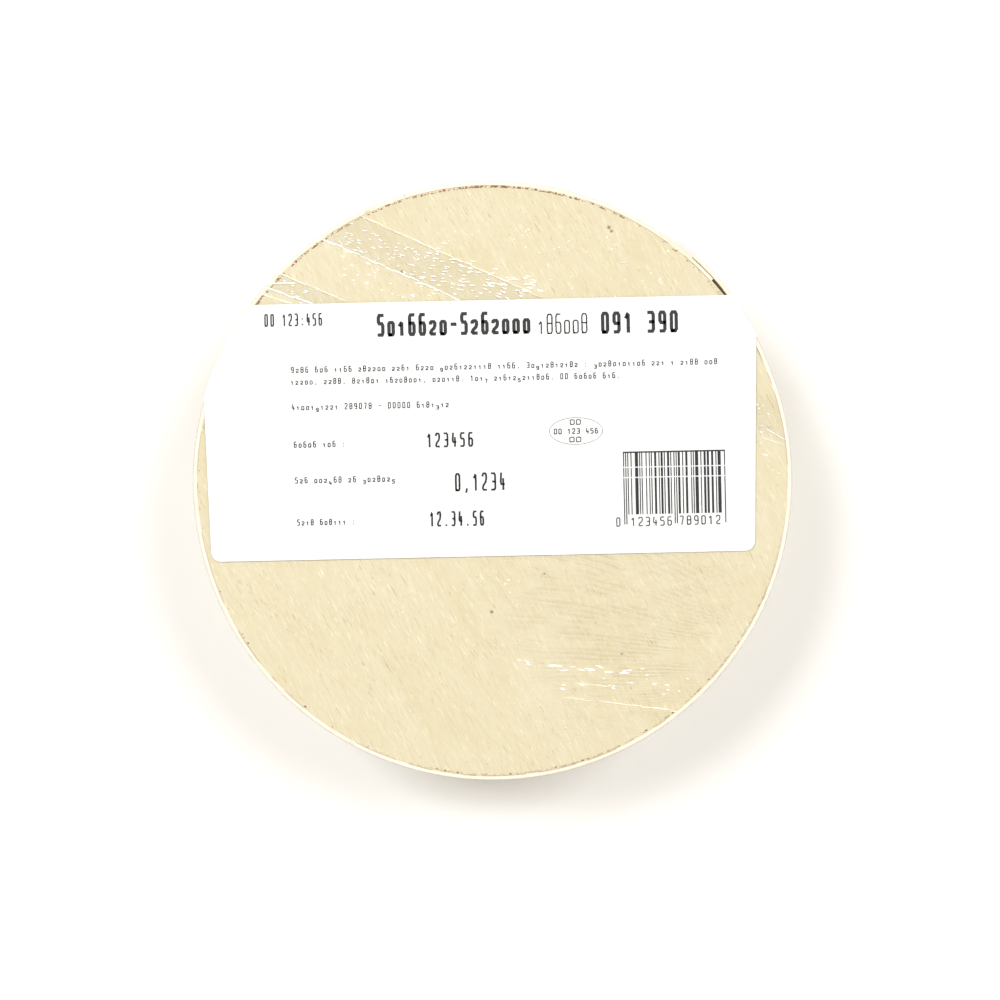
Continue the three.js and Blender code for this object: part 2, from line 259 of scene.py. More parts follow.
class Network:
    """The nodes of one material."""

    def __init__(self, name: str) -> None:
        """Starts an empty material."""
        self.material = bpy.data.materials.new(name)
        self.material.use_nodes = True
        self.tree = self.material.node_tree
        self.tree.nodes.clear()

    def node(
        self, kind: str, settings: dict | None = None, sockets: dict | None = None
    ) -> bpy.types.Node:
        """Adds a node.

        Args:
            kind: the node's type.
            settings: its properties, set first.
            sockets: values or links for its inputs, by name or number.

        Returns:
            The node.
        """
        made = self.tree.nodes.new(kind)
        for key, value in (settings or {}).items():
            setattr(made, key, value)
        for key, value in (sockets or {}).items():
            source = value.socket if isinstance(value, Signal) else value
            if isinstance(source, bpy.types.NodeSocket):
                self.tree.links.new(source, made.inputs[key])
            else:
                made.inputs[key].default_value = source
        return made

    def spot(self) -> bpy.types.NodeSocket:
        """Gives the place on the piece, in metres in the frame's axes."""
        return self.node("ShaderNodeTexCoord").outputs["Object"]

    def mapped(self, stretch: Sequence[float], turn: float = 0.0) -> bpy.types.NodeSocket:
        """Gives the place on the piece, turned and then stretched.

        Args:
            stretch: how many units each millimetre becomes along each turned axis.
            turn: the turn about +Z, in degrees.

        Returns:
            The mapped place.
        """
        turned = self.node(
            "ShaderNodeMapping", {}, {"Vector": self.spot(), "Rotation": (0, 0, math.radians(turn))}
        )
        scale = [value / MM for value in stretch]
        made = self.node("ShaderNodeMapping", {}, {"Vector": turned.outputs[0], "Scale": scale})
        return made.outputs[0]

    def axes(self, turn: float = 0.0) -> tuple[Signal, Signal, Signal]:
        """Gives the place's three coordinates in millimetres, after a turn about +Z."""
        split = self.node("ShaderNodeSeparateXYZ", {}, {0: self.mapped((1, 1, 1), turn)})
        return tuple(Signal(self, output) for output in split.outputs)

    def grain(
        self, place: bpy.types.NodeSocket, detail: float = 2.0, rough: float = 0.5, warp: float = 0.0
    ) -> Signal:
        """Adds a noise texture.

        Args:
            place: the mapped place.
            detail: how many finer layers are added.
            rough: how strong the finer layers are.
            warp: how far the pattern is bent.

        Returns:
            A value from 0 to 1, 0.5 on average.
        """
        made = self.node(
            "ShaderNodeTexNoise",
            {},
            {"Vector": place, "Scale": 1.0, "Detail": detail, "Roughness": rough, "Distortion": warp},
        )
        return Signal(self, made.outputs[0])

    def near(self, place: Place, reach: float, soft: float) -> Signal:
        """Gives a round spot on the plan of the box.

        Args:
            place: the spot's centre in plan, in millimetres.
            reach: its radius.
            soft: the width of its soft edge.

        Returns:
            1 inside the spot and 0 outside.
        """
        x, y, _ = self.axes()
        across, along = x - place[0], y - place[1]
        distance = (across * across + along * along).maths("SQRT")
        return distance.ramp(reach + soft, reach)

    def blend(self, share: Signal, first: object, second: object) -> bpy.types.NodeSocket:
        """Blends two colours or colour sockets.

        Args:
            share: how much of the second there is.
            first: the first colour.
            second: the second colour.

        Returns:
            The blended colour.
        """
        settings = {"data_type": "RGBA", "clamp_factor": True}
        return self.node("ShaderNodeMix", settings, {0: share, 6: first, 7: second}).outputs[2]

    def bump(self, height: Signal, depth: float, strength: float = 1.0) -> bpy.types.NodeSocket:
        """Turns a height into a normal.

        Args:
            height: the height, from 0 to 1.
            depth: what a height of 1 stands for, in millimetres.
            strength: how strongly it shows.

        Returns:
            The normal.
        """
        made = self.node(
            "ShaderNodeBump", {}, {"Height": height, "Distance": depth * MM, "Strength": strength}
        )
        return made.outputs[0]

    def shade(self, sockets: dict) -> bpy.types.Node:
        """Adds the main shader with these inputs."""
        return self.node("ShaderNodeBsdfPrincipled", {}, sockets)

    def solid(self, sockets: dict) -> bpy.types.Material:
        """Gives the material of a surface that can't be seen through."""
        return self._joined(self.shade(sockets))

    def sheer(self, share: Signal, sockets: dict) -> bpy.types.Material:
        """Gives the material of a surface that shows only in part.

        Args:
            share: how much of it shows.
            sockets: the main shader's inputs.

        Returns:
            The material.
        """
        clear = self.node("ShaderNodeBsdfTransparent").outputs[0]
        inputs = {0: share.clamped(), 1: clear, 2: self.shade(sockets).outputs[0]}
        return self._joined(self.node("ShaderNodeMixShader", {}, inputs))

    def _joined(self, shader: bpy.types.Node) -> bpy.types.Material:
        """Joins the shader to the output and gives the material."""
        self.node("ShaderNodeOutputMaterial", {}, {"Surface": shader.outputs[0]})
        return self.material


def tint(code: str) -> Colour:
    """Turns a colour code such as #f4e6c3 into a linear colour."""
    shares = [int(code[start:start + 2], 16) / 255 for start in (1, 3, 5)]
    linear = [s / 12.92 if s <= 0.04045 else ((s + 0.055) / 1.055) ** 2.4 for s in shares]
    return (*linear, 1.0)


WHITE = tint("#ffffff")


@dataclass(frozen=True)
class Finish:
    """A finish, with the record's slot that it stands for."""

    name: str
    slot: str

    def material(self) -> bpy.types.Material:
        """Gives the finish's material, made when first asked for."""
        known = bpy.data.materials.get(self.name)
        return known or self.paint(Network(self.name))

    def paint(self, net: Network) -> bpy.types.Material:
        """Makes the material's nodes in an empty network."""
        raise NotImplementedError


@dataclass(frozen=True)
class PanelVeneer(Finish):
    """Peeled poplar: pale, with short slanting fibres, brown flecks and a cloudy tone."""

    name: str = "panel_veneer"
    slot: str = "panel_wood"
    grain_turn: float = 60.0
    pale: Colour = tint("#e7dfc5")
    deep: Colour = tint("#d5c698")
    brown: Colour = tint("#b08f55")
    milky: Colour = tint("#fcf5de")
    stain: Colour = tint("#7a4318")
    rim: float = 68.9
    knots: tuple[tuple[float, float, float], ...] = (
        (-0.2, -30.9, 0.24), (27.4, 59.6, 0.26), (28.0, 58.7, 0.2), (30.4, -40.8, 0.14),
        (-21.3, 49.2, 0.16), (12.2, -21.9, 0.12),
    )

    def paint(self, net: Network) -> bpy.types.Material:
        """Makes the veneer's nodes."""
        turn = self.grain_turn
        fibres = net.grain(net.mapped((0.26, 2.1, 0.4), turn), 3.0, 0.6, 0.15)
        hairs = net.grain(net.mapped((0.7, 5.5, 0.4), turn), 2.0, 0.6)
        streaks = net.grain(net.mapped((0.03, 0.35, 0.2), turn), 3.0, 0.6, 0.3)
        clouds = net.grain(net.mapped((0.05, 0.07, 0.1), turn), 2.0, 0.5, 0.6)
        tone = fibres * 0.85 + hairs * 0.35 + streaks * 0.45 + clouds * 0.5 - 0.675
        colour = net.blend(tone.clamped(), self.pale, self.deep)
        gathered = net.grain(net.mapped((0.06, 0.11, 0.1), turn), 1.0).ramp(0.35, 0.6)
        flecks = net.grain(net.mapped((0.38, 4.0, 0.9), turn), 1.5, 0.5, 0.2).ramp(0.64, 0.74)
        specks = net.grain(net.mapped((0.8, 3.4, 3.9), turn), 1.0, 0.5).ramp(0.70, 0.78)
        colour = net.blend(flecks * gathered * 0.55 + specks * 0.45, colour, self.brown)
        threads = net.grain(net.mapped((0.36, 3.2, 2.7), turn), 1.5, 0.5).ramp(0.60, 0.74)
        colour = net.blend(threads * 0.5, colour, self.milky)
        for x, y, radius in self.knots:
            colour = net.blend(net.near((x, y), radius, 0.3) * 0.7, colour, self.stain)
        colour = net.blend(self._worn_rim(net) * 0.9, colour, self.stain)
        height = fibres * 0.6 + hairs * 0.4 - flecks * 0.5
        return net.solid({
            "Base Color": colour,
            "Roughness": fibres * 0.2 + 0.6,
            "Normal": net.bump(height, 0.03, 0.6),
            "Specular IOR Level": 0.3,
        })

    def _worn_rim(self, net: Network) -> Signal:
        """Gives the brown dots where the panel's cut edge meets the strip."""
        x, y, _ = net.axes()
        reach = (x * x + y * y).maths("SQRT").ramp(self.rim, self.rim + 0.15)
        dots = net.grain(net.mapped((1.4, 1.4, 0.3)), 1.0, 0.5)
        lengths = net.grain(net.mapped((0.04, 0.04, 0.3)), 1.0)
        upper = (y * 0.6 - x * 0.15).ramp(10.0, 30.0)
        lower = (y * -1.0 + x * 0.55).ramp(40.0, 75.0)
        worn = (dots + lengths * 0.5).ramp(0.80, 0.88) * (upper * 0.95 + lower * 0.3 + 0.04)
        return reach * worn.clamped()


@dataclass(frozen=True)
class SeamCrumb(Finish):
    """The dark brown of the crumbs that sawing leaves along a panel's edge."""

    name: str = "seam_crumb"
    slot: str = "panel_wood"

    def paint(self, net: Network) -> bpy.types.Material:
        """Makes the crumb's nodes."""
        mottle = net.grain(net.mapped((1.5, 1.5, 1.5)), 2.0)
        return net.solid({
            "Base Color": net.blend(mottle, tint("#6e330c"), tint("#b4682a")),
            "Roughness": mottle * 0.2 + 0.7,
        })


@dataclass(frozen=True)
class StripVeneer(Finish):
    """A thin poplar strip: creamier, with its fibres running round the box."""

    name: str = "strip_veneer"
    slot: str = "hoop_wood"
    pale: Colour = tint("#fbf4e0")
    deep: Colour = tint("#e9dab4")
    brown: Colour = tint("#ab8450")

    def paint(self, net: Network) -> bpy.types.Material:
        """Makes the strip's nodes."""
        fibres = net.grain(net.mapped((0.05, 0.05, 2.4)), 3.0, 0.6, 0.1)
        hairs = net.grain(net.mapped((0.3, 0.3, 6.0)), 2.0, 0.6)
        clouds = net.grain(net.mapped((0.03, 0.03, 0.12)), 2.0, 0.5, 0.5)
        tone = fibres * 1.3 + hairs * 0.7 + clouds - 1.15
        colour = net.blend(tone.clamped(), self.pale, self.deep)
        flecks = net.grain(net.mapped((0.25, 0.25, 3.4)), 1.5, 0.5).ramp(0.68, 0.76)
        colour = net.blend(flecks * 0.45, colour, self.brown)
        _, _, height = net.axes()
        top, bottom = SIZES.lid_top, SIZES.lid_bottom
        # Painted highlight: the strip is blended towards white along its top edge.
        colour = net.blend(height.ramp(top - 0.5, top - 0.1) * 0.25, colour, WHITE)
        # The strip is darkened towards brown along the lid's lower edge.
        lip = height.ramp(bottom - 0.1, bottom) * height.ramp(bottom + 0.6, bottom + 0.2)
        colour = net.blend(lip * (fibres * 0.5 + 0.2), colour, self.brown)
        return net.solid({
            "Base Color": colour,
            "Roughness": fibres * 0.2 + 0.58,
            "Normal": net.bump(fibres * 0.6 + hairs * 0.4, 0.06, 0.8),
            "Specular IOR Level": 0.3,
        })


@dataclass(frozen=True)
class ClearFilm(Finish):
    """Cling film: nearly clear and glossy, faintly rippled where it is drawn tight, with painted shade in
    the ripples' troughs and painted highlights on their ridges.
    """

    name: str = "cling_film"
    slot: str = "clear_film"
    veil: float = 0.02
    gloss: float = 0.08
    level_line: float = -46.0
    flare: float = 0.000235
    ripple_centre: Place = (30.0, -30.0)
    shade_tone: Colour = tint("#a87424")
    lit_tone: Colour = tint("#f6efdc")

    def paint(self, net: Network) -> bpy.types.Material:
        """Makes the film's nodes."""
        x, y, z = net.axes()
        bend = net.grain(net.mapped((0.05, 0.08, 0.1)), 1.5, 0.5)
        drift = net.grain(net.mapped((0.14, 0.6, 0.1)), 1.5)
        fan = (y - self.level_line) * (x * x * self.flare).maths("EXPONENT")
        cycles = fan * 0.87 - fan * fan * 0.00575 + bend * 2.2 + drift * 0.6
        wave = (cycles * math.tau).sine()
        patchy = net.grain(net.mapped((0.1, 0.35, 0.1)), 2.0, 0.6).ramp(0.32, 0.62)
        reach = net.near(self.ripple_centre, 16.0, 22.0)
        on_top = z.ramp(SIZES.film_top - 1.5, SIZES.film_top - 0.8)
        tight = patchy * reach * on_top
        trough_shade = wave.ramp(0.0, 1.0) * tight
        ridge_highlight = wave.ramp(0.0, -1.0) * tight
        soft = net.grain(net.mapped((0.11, 0.11, 0.07)), 2.0, 0.5, 1.5)
        # Painted shade and highlight: the ripples' troughs turn the film brownish, and their ridges show
        # more of the pale lit tone.
        colour = net.blend(trough_shade, self.lit_tone, self.shade_tone)
        facing = Signal(net, net.node("ShaderNodeLayerWeight", {}, {"Blend": 0.25}).outputs[1])
        side = (1.0 - on_top) * (soft.ramp(0.4, 0.7) * 0.05 + 0.03)
        share = facing * facing * 0.35 + (trough_shade * 0.042 + ridge_highlight * 0.14) + side + self.veil
        return net.sheer(share, {
            "Base Color": colour,
            "Roughness": soft * 0.05 + self.gloss,
            "Normal": net.bump(wave * tight * 0.5 + soft * 2.0, 0.10, 0.5),
            "Specular IOR Level": 0.6,
        })


@dataclass(frozen=True)
class DoubledFilm(Finish):
    """A pleat of film lying on the film below it, which dims the wood a little with a painted brownish
    shade and shows painted white highlights on its crinkles.
    """

    name: str = "film_pleat"
    slot: str = "clear_film"
    shadow: Colour = tint("#a8791f")

    def paint(self, net: Network) -> bpy.types.Material:
        """Makes the pleat's nodes."""
        crinkle = net.grain(net.mapped((0.35, 1.6, 0.1), -12), 2.0, 0.6, 0.4)
        crinkle_highlight = crinkle.ramp(0.60, 0.72)
        # Painted shade: a brownish shadow colour dims the wood under the pleat; painted highlight: the
        # crinkles' high spots turn white and show more.
        return net.sheer(crinkle_highlight * 0.05 + 0.008, {
            "Base Color": net.blend(crinkle_highlight, self.shadow, WHITE),
            "Roughness": crinkle * 0.2 + 0.1,
            "Normal": net.bump(crinkle, 0.05, 0.4),
            "Specular IOR Level": 0.15,
        })


@dataclass(frozen=True)
class FilmGlint(Finish):
    """Painted highlight with a faint painted glow: the white of light caught by a sharp crease in the film.
    """

    name: str = "film_glint"
    slot: str = "clear_film"
    cover: float = 0.7

    def paint(self, net: Network) -> bpy.types.Material:
        """Makes the glint's nodes."""
        crinkle = net.grain(net.mapped((0.8, 1.6, 0.5)), 1.0)
        return net.sheer(crinkle.ramp(0.25, 0.5) * 0.25 + self.cover, {
            "Base Color": WHITE,
            "Roughness": crinkle * 0.2 + 0.3,
            # Painted glow: the glint gives off a little white light of its own.
            "Emission Color": WHITE,
            "Emission Strength": 0.35,
        })


@dataclass(frozen=True)
class FilmFold(Finish):
    """The soft pale line of a film edge or an easy fold: a painted highlight with a faint painted glow."""

    name: str = "film_fold_highlight"
    slot: str = "clear_film"
    cover: float = 0.3
    glow: float = 0.35

    def paint(self, net: Network) -> bpy.types.Material:
        """Makes the fold's nodes."""
        worn = net.grain(net.mapped((0.3, 0.3, 0.3)), 2.0, 0.6)
        # The noise called worn only varies how strongly the painted highlight shows.
        return net.sheer(worn.ramp(0.3, 0.6) * self.cover + self.cover * 0.8, {
            "Base Color": tint("#fffaf0"),
            "Roughness": worn * 0.2 + 0.2,
            # Painted glow: the line gives off a little warm white light of its own.
            "Emission Color": tint("#fff4dc"),
            "Emission Strength": self.glow,
        })


@dataclass(frozen=True)
class LabelStock(Finish):
    """Matt white label paper with a faint fibre."""

    name: str = "label_stock"
    slot: str = "label_paper"
    white: Colour = tint("#f7f7f5")

    def paint(self, net: Network) -> bpy.types.Material:
        """Makes the label's nodes."""
        fibre = net.grain(net.mapped((1.6, 1.6, 1.6)), 3.0, 0.6)
        colour = net.blend(fibre.ramp(0.35, 0.75) * 0.2, self.white, tint("#eeeeec"))
        return net.solid({
            "Base Color": colour,
            "Roughness": fibre * 0.15 + 0.42,
            "Normal": net.bump(fibre, 0.01, 0.5),
        })


@dataclass(frozen=True)
class PrintInk(Finish):
    """Thermal print: near black, a little worn."""

    name: str = "thermal_print"
    slot: str = "label_ink"

    def paint(self, net: Network) -> bpy.types.Material:
        """Makes the print's nodes."""
        worn = net.grain(net.mapped((2.2, 2.2, 2.2)), 2.0, 0.7).ramp(0.5, 0.8)
        colour = net.blend(worn * 0.3, tint("#101116"), tint("#5c5f66"))
        return net.solid({"Base Color": colour, "Roughness": 0.55})


@dataclass(frozen=True)
class StapleWire(Finish):
    """Galvanised wire with faint drawing marks."""

    name: str = "staple_wire"
    slot: str = "staple_steel"

    def paint(self, net: Network) -> bpy.types.Material:
        """Makes the wire's nodes."""
        marks = net.grain(net.mapped((4.0, 4.0, 1.2)), 2.0, 0.6)
        colour = net.blend(marks.ramp(0.3, 0.7), tint("#b9bcc0"), tint("#8b8e93"))
        return net.solid({
            "Base Color": colour, "Metallic": 1.0, "Roughness": marks * 0.25 + 0.22,
        })


@dataclass(frozen=True)
class WrappingPaper(Finish):
    """Waxed white wrapping paper."""

    name: str = "waxed_paper"
    slot: str = "wrapping_paper"

    def paint(self, net: Network) -> bpy.types.Material:
        """Makes the paper's nodes."""
        creases = net.grain(net.mapped((0.12, 0.12, 0.3)), 3.0, 0.6, 1.2)
        colour = net.blend(creases.ramp(0.4, 0.7) * 0.5, tint("#f4f2ea"), tint("#e2ded0"))
        return net.solid({
            "Base Color": colour,
            "Roughness": creases * 0.2 + 0.35,
            "Normal": net.bump(creases, 0.25, 0.7),
        })


@dataclass(frozen=True)
class BloomyRind(Finish):
    """A soft white rind with cream showing through and the faint marks of a draining mat."""

    name: str = "bloomy_rind"
    slot: str = "cheese_rind"

    def paint(self, net: Network) -> bpy.types.Material:
        """Makes the rind's nodes."""
        x, _, _ = net.axes(20)
        down = net.grain(net.mapped((1.4, 1.4, 1.4)), 4.0, 0.7)
        patches = net.grain(net.mapped((0.09, 0.09, 0.09)), 3.0, 0.6, 0.5)
        mat = (x * (math.tau / 4.2)).sine().ramp(-0.2, 1.0)
        colour = net.blend(patches.ramp(0.42, 0.68), tint("#f6f2e6"), tint("#e6d2a4"))
        colour = net.blend(down.ramp(0.4, 0.7) * 0.4, colour, tint("#fbf9f1"))
        return net.solid({
            "Base Color": colour,
            "Roughness": down * 0.1 + 0.85,
            "Normal": net.bump(down * 0.5 + mat * 0.4 + patches * 0.5, 0.5, 0.8),
            "Sheen Weight": 0.3,
        })


@dataclass(frozen=True)
class StudioWhite(Finish):
    """The plain pale floor, which brightens into the distance like a lit backdrop."""

    name: str = "studio_white"
    slot: str = ""
    white: Colour = (0.95, 0.95, 0.95, 1.0)
    near_glow: Colour = (0.08, 0.065, 0.045, 1.0)
    far_glow: Colour = (0.62, 0.62, 0.62, 1.0)

    def paint(self, net: Network) -> bpy.types.Material:
        """Makes the floor's nodes."""
        x, y, _ = net.axes()
        distance = (x * x + y * y).maths("SQRT")
        return net.solid({
            "Base Color": self.white,
            "Roughness": 0.9,
            "Emission Color": net.blend(distance.ramp(250.0, 1500.0), self.near_glow, self.far_glow),
            "Emission Strength": 1.0,
        })


# --------------------------------------------------------------------------------- mesh helpers


def split_geometry(made: Iterable[object]) -> tuple[list, list]:
    """Sorts an operator's result.

    Args:
        made: the geometry that the operator gave.

    Returns:
        Its vertices, and the edges that join two of them.
    """
    made = list(made)
    verts = [item for item in made if isinstance(item, bmesh.types.BMVert)]
    known = set(verts)
    edges = [
        item for item in made
        if isinstance(item, bmesh.types.BMEdge) and all(vert in known for vert in item.verts)
    ]
    return verts, edges


def chain(bm: bmesh.types.BMesh, points: Sequence[Vector], closed: bool = False) -> list:
    """Joins points into a line of edges.

    Args:
        bm: the mesh that it is added to.
        points: the points in order, in millimetres.
        closed: whether the last point joins the first.

    Returns:
        The line's vertices and edges.
    """
    verts = [bm.verts.new(point) for point in points]
    pairs = list(pairwise(verts)) + ([(verts[-1], verts[0])] if closed else [])
    return verts + [bm.edges.new(pair) for pair in pairs]


def sweep(bm: bmesh.types.BMesh, ring: Sequence[object], frames: Sequence[Matrix]) -> None:
    """Extrudes a closed ring of edges from frame to frame and caps its ends.

    Args:
        bm: the mesh that holds the ring.
        ring: the ring's vertices and edges, drawn about the origin.
        frames: the ring's place at each step.
    """
    verts, edges = split_geometry(ring)
    bmesh.ops.transform(bm, matrix=frames[0], verts=verts)
    first = edges
    for before, after in pairwise(frames):
        made = bmesh.ops.extrude_edge_only(bm, edges=edges)["geom"]
        verts, edges = split_geometry(made)
        bmesh.ops.transform(bm, matrix=after @ before.inverted(), verts=verts)
    for end in (first, edges):
        bmesh.ops.contextual_create(bm, geom=end)
    bmesh.ops.recalc_face_normals(bm, faces=bm.faces)


def spin_round(bm: bmesh.types.BMesh, line: Sequence[object], steps: int) -> None:
    """Spins a line a full turn about the box's axis and closes its poles."""
    bmesh.ops.spin(
        bm, geom=line, cent=(0, 0, 0), axis=(0, 0, 1), angle=math.tau, steps=steps,
        use_merge=True, use_duplicate=False,
    )
    bmesh.ops.remove_doubles(bm, verts=bm.verts, dist=1e-4)
    bmesh.ops.recalc_face_normals(bm, faces=bm.faces)


def move_each(bm: bmesh.types.BMesh, rule: Callable[[Vector], Vector]) -> None:
    """Moves every vertex to where a rule says, from where it is."""
    for vert in bm.verts:
        vert.co = rule(vert.co.copy())


def new_piece(
    name: str, bm: bmesh.types.BMesh, finish: Finish, replaced: Sequence[str] = (), crease: float = 40.0
) -> bpy.types.Object:
    """Turns a mesh in millimetres into a piece of the object.

    Args:
        name: the piece's name.
        bm: its mesh, which is freed.
        finish: its finish.
        replaced: the CAD nodes that it stands for.
        crease: the angle past which its edges are sharp.

    Returns:
        The piece.
    """
    bmesh.ops.scale(bm, vec=(MM, MM, MM), verts=bm.verts)
    mesh = bpy.data.meshes.new(name)
    bm.to_mesh(mesh)
    bm.free()
    mesh.shade_smooth()
    mesh.set_sharp_from_angle(angle=math.radians(crease))
    made = bpy.data.objects.new(name, mesh)
    bpy.context.scene.collection.objects.link(made)
    made.data.materials.append(finish.material())
    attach(made, BODY)
    if replaced:
        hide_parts(*replaced)
    log.info("%s: %d faces, finish %s", name, len(mesh.polygons), finish.name)
    return made


def thicken(bm: bmesh.types.BMesh, thickness: float) -> None:
    """Gives a sheet its thickness, inwards from its face, or outwards if it is below 0."""
    bmesh.ops.solidify(bm, geom=bm.faces[:], thickness=thickness)
    if thickness < 0:
        bmesh.ops.reverse_faces(bm, faces=bm.faces)


def flake(bm: bmesh.types.BMesh, place: Matrix, sizes: Sequence[float], tip: float = 0.5) -> None:
    """Adds a thin six-sided flake that narrows upwards.

    Args:
        bm: the mesh that it is added to.
        place: its place and turn.
        sizes: half its length, half its width, and its thickness.
        tip: how wide its top is, as a share of its foot.
    """
    bmesh.ops.create_cone(
        bm, cap_ends=True, segments=6, radius1=1.0, radius2=tip, depth=1.0,
        matrix=place @ Matrix.Diagonal((*sizes, 1.0)),
    )


def cut_away(bm: bmesh.types.BMesh, point: Vector, away: Vector) -> None:
    """Cuts a mesh with a plane through a point and drops what lies on the side it faces."""
    bmesh.ops.bisect_plane(
        bm, geom=[*bm.verts, *bm.edges, *bm.faces], plane_co=point, plane_no=away, clear_outer=True
    )


# ------------------------------------------------------------------------------------ wooden box


@dataclass
class Hoop:
    """One veneer strip bent into a hoop and lapped."""

    name: str
    node: str
    lap: Lap
    seed: float
    # Painted shade: the inner faces get a darker brown copy of the strip's finish, so the gaps at the laps
    # and seams look shaded.
    inside: Finish = field(default_factory=lambda: StripVeneer(
        name="strip_inside_painted_shade", pale=tint("#c9a26c"), deep=tint("#94683a")
    ))
    steps: int = 300
    rows: int = 12
    round_off: float = 0.12

    def __post_init__(self) -> None:
        """Reads the hoop's own sizes."""
        low, high = node_box(self.node)
        self.outer_radius, self.bottom, self.top = high.x, low.z, high.z

    def build(self, finish: Finish) -> bpy.types.Object:
        """Sweeps the strip round and lets it wander a little.

        Args:
            finish: the strip's finish.

        Returns:
            The piece.
        """
        bm = bmesh.new()
        sweep(bm, self._section(bm), self._frames())
        move_each(bm, self._wander)
        made = new_piece(self.name, bm, finish, [self.node])
        made.data.materials.append(self.inside.material())
        # Faces that point inwards take the second, painted-shade finish.
        for face in made.data.polygons:
            out = plan(face.center).normalized()
            face.material_index = int(face.normal.dot(out) < -0.7)
        return made

    def _section(self, bm: bmesh.types.BMesh) -> list:
        """Draws the strip's section, its corners taken off, about the strip's outer face."""
        cut, thick = self.round_off, SIZES.strip
        rise = (self.top - self.bottom - 2 * cut) / self.rows
        outside = [(0.0, self.bottom + cut + rise * row) for row in range(self.rows + 1)]
        inside = [(-thick, height) for _, height in reversed(outside)]
        corners_top = [(-cut, self.top), (cut - thick, self.top)]
        corners_bottom = [(cut - thick, self.bottom), (-cut, self.bottom)]
        outline = outside + corners_top + inside + corners_bottom
        return chain(bm, [Vector((out, 0, height)) for out, height in outline], closed=True)

    def _frames(self) -> list[Matrix]:
        """Gives the section's place at each step, from the outer end round to the inner one."""
        turn = 360 + self.lap.overlap
        frames = []
        for step in range(self.steps + 1):
            past = turn * step / self.steps
            spin = Matrix.Rotation(math.radians(self.lap.angle - past), 4, "Z")
            radius = self.outer_radius + self.lap.strip_lift(past)
            frames.append(spin @ Matrix.Translation((radius, 0, 0)))
        return frames

    def _wander(self, point: Vector) -> Vector:
        """Lets the strip's faces wave and its edges run a little uneven."""
        angle = angle_of(point)
        height = (point.z - self.bottom) / (self.top - self.bottom)
        wave = 0.06 * round_noise(angle, 26, self.seed + height * 1.3)
        ragged = 0.05 * round_noise(angle, 300, self.seed + 7) + 0.07 * round_noise(angle, 40, self.seed)
        edge = smooth_step(0.9, 1.0, abs(2 * height - 1))
        rise = (ragged - 0.05) * edge * (1 if height > 0.5 else -1)
        return point + plan(point).normalized() * (wave - 0.03) + Vector((0, 0, rise))


@dataclass
class Panel:
    """A round veneer panel whose cut edge is a little ragged."""

    name: str
    node: str
    ragged_from: float
    ragged_to: float
    seed: float
    lap: Lap = field(default_factory=lambda: SIZES.lid_lap)
    swell: float = 0.4
    reach: float = 0.08
    chamfer: float = 0.08
    worn_band: float = 0.5
    steps: int = 900
    rings: int = 4

    def build(self, finish: Finish) -> bpy.types.Object:
        """Spins the panel and roughens its edge.

        Args:
            finish: the panel's finish.

        Returns:
            The piece.
        """
        low, high = node_box(self.node)
        radius, edge = high.x + self.reach, self.chamfer
        across = [radius * (ring / self.rings) ** 0.6 for ring in range(self.rings)]
        upper = [Vector((out, 0, high.z)) for out in across]
        rim = [Vector((radius - edge, 0, high.z)), Vector((radius, 0, high.z - edge))]
        rim += [Vector((radius, 0, low.z + edge)), Vector((radius - edge, 0, low.z))]
        lower = [Vector((out, 0, low.z)) for out in reversed(across)]
        bm = bmesh.new()
        spin_round(bm, chain(bm, upper + rim + lower), self.steps)
        move_each(bm, lambda point: self._roughen(point, radius, (low.z + high.z) / 2))
        return new_piece(self.name, bm, finish, [self.node])

    def _roughen(self, point: Vector, radius: float, middle: float) -> Vector:
        """Cups the panel slightly and nibbles at its edge."""
        out = plan(point)
        if out.length < TINY:
            return point
        angle = angle_of(point)
        point.z += 0.06 * noise.noise(out * 0.05 + Vector((0, 0, self.seed)))
        if out.length > radius - self.worn_band and point.z > middle:
            turn = (angle - self.ragged_from) % 360
            width = (self.ragged_to - self.ragged_from) % 360
            worn = smooth_step(0, 25, turn) * smooth_step(0, 25, width - turn)
            slow = 0.5 + 0.5 * round_noise(angle, 30, self.seed + 2)
            fine = max(0.0, round_noise(angle, 420, self.seed + 4) + 0.15 * round_noise(angle, 1400, 3))
            bite = (0.03 + 0.9 * fine * slow) * worn + 0.05 * fine
            bulge = self.swell * self.lap.strip_lift(self.lap.angle - angle)
            point -= out.normalized() * (bite - bulge)
        return point


class Crown(Enum):
    """Which way a staple's crown lies, with the length of its legs."""

    UPRIGHT = 2.2
    ALONG_RIM = 4.6


@dataclass
class Staple:
    """A wire staple pressed into a hoop."""

    node: str
    crown: Crown
    rim_width: float = 6.0
    radius: float = 0.27
    sink: float = 0.16
    sides: int = 10

    def build(self, finish: Finish) -> bpy.types.Object:
        """Sweeps the wire along the staple's own line.

        Args:
            finish: the wire's finish.

        Returns:
            The piece.
        """
        low, high = node_box(self.node)
        middle = (low + high) / 2
        angle = angle_of(middle)
        outwards, depth = direction(angle), self.crown.value
        across, width = Vector((-outwards.y, outwards.x, 0)), self.rim_width
        if self.crown is Crown.UPRIGHT:
            across, width = Vector((0, 0, 1)), high.z - low.z
        start = outwards * (self._face_radius(angle, middle.z) - self.sink) + Vector((0, 0, middle.z))
        half = width / 2 - self.radius
        path = [(-half, -depth), (-half, -0.5), (-half + 0.15, -0.13), (-half + 0.5, 0.0)]
        path += [(-across_at, inwards) for across_at, inwards in reversed(path)]
        points = [start + across * along + outwards * inwards for along, inwards in path]
        bm = bmesh.new()
        tube(bm, points, self.radius, self.sides)
        return new_piece(self.node + "_wire", bm, finish, [self.node], 60.0)

    @staticmethod
    def _face_radius(angle: float, height: float) -> float:
        """Gives the outer face's radius where the staple goes in."""
        if height > SIZES.lid_bottom:
            return SIZES.lid_radius + SIZES.lid_lap.film_lift(angle)
        return SIZES.base_radius + SIZES.base_lap.film_lift(angle)


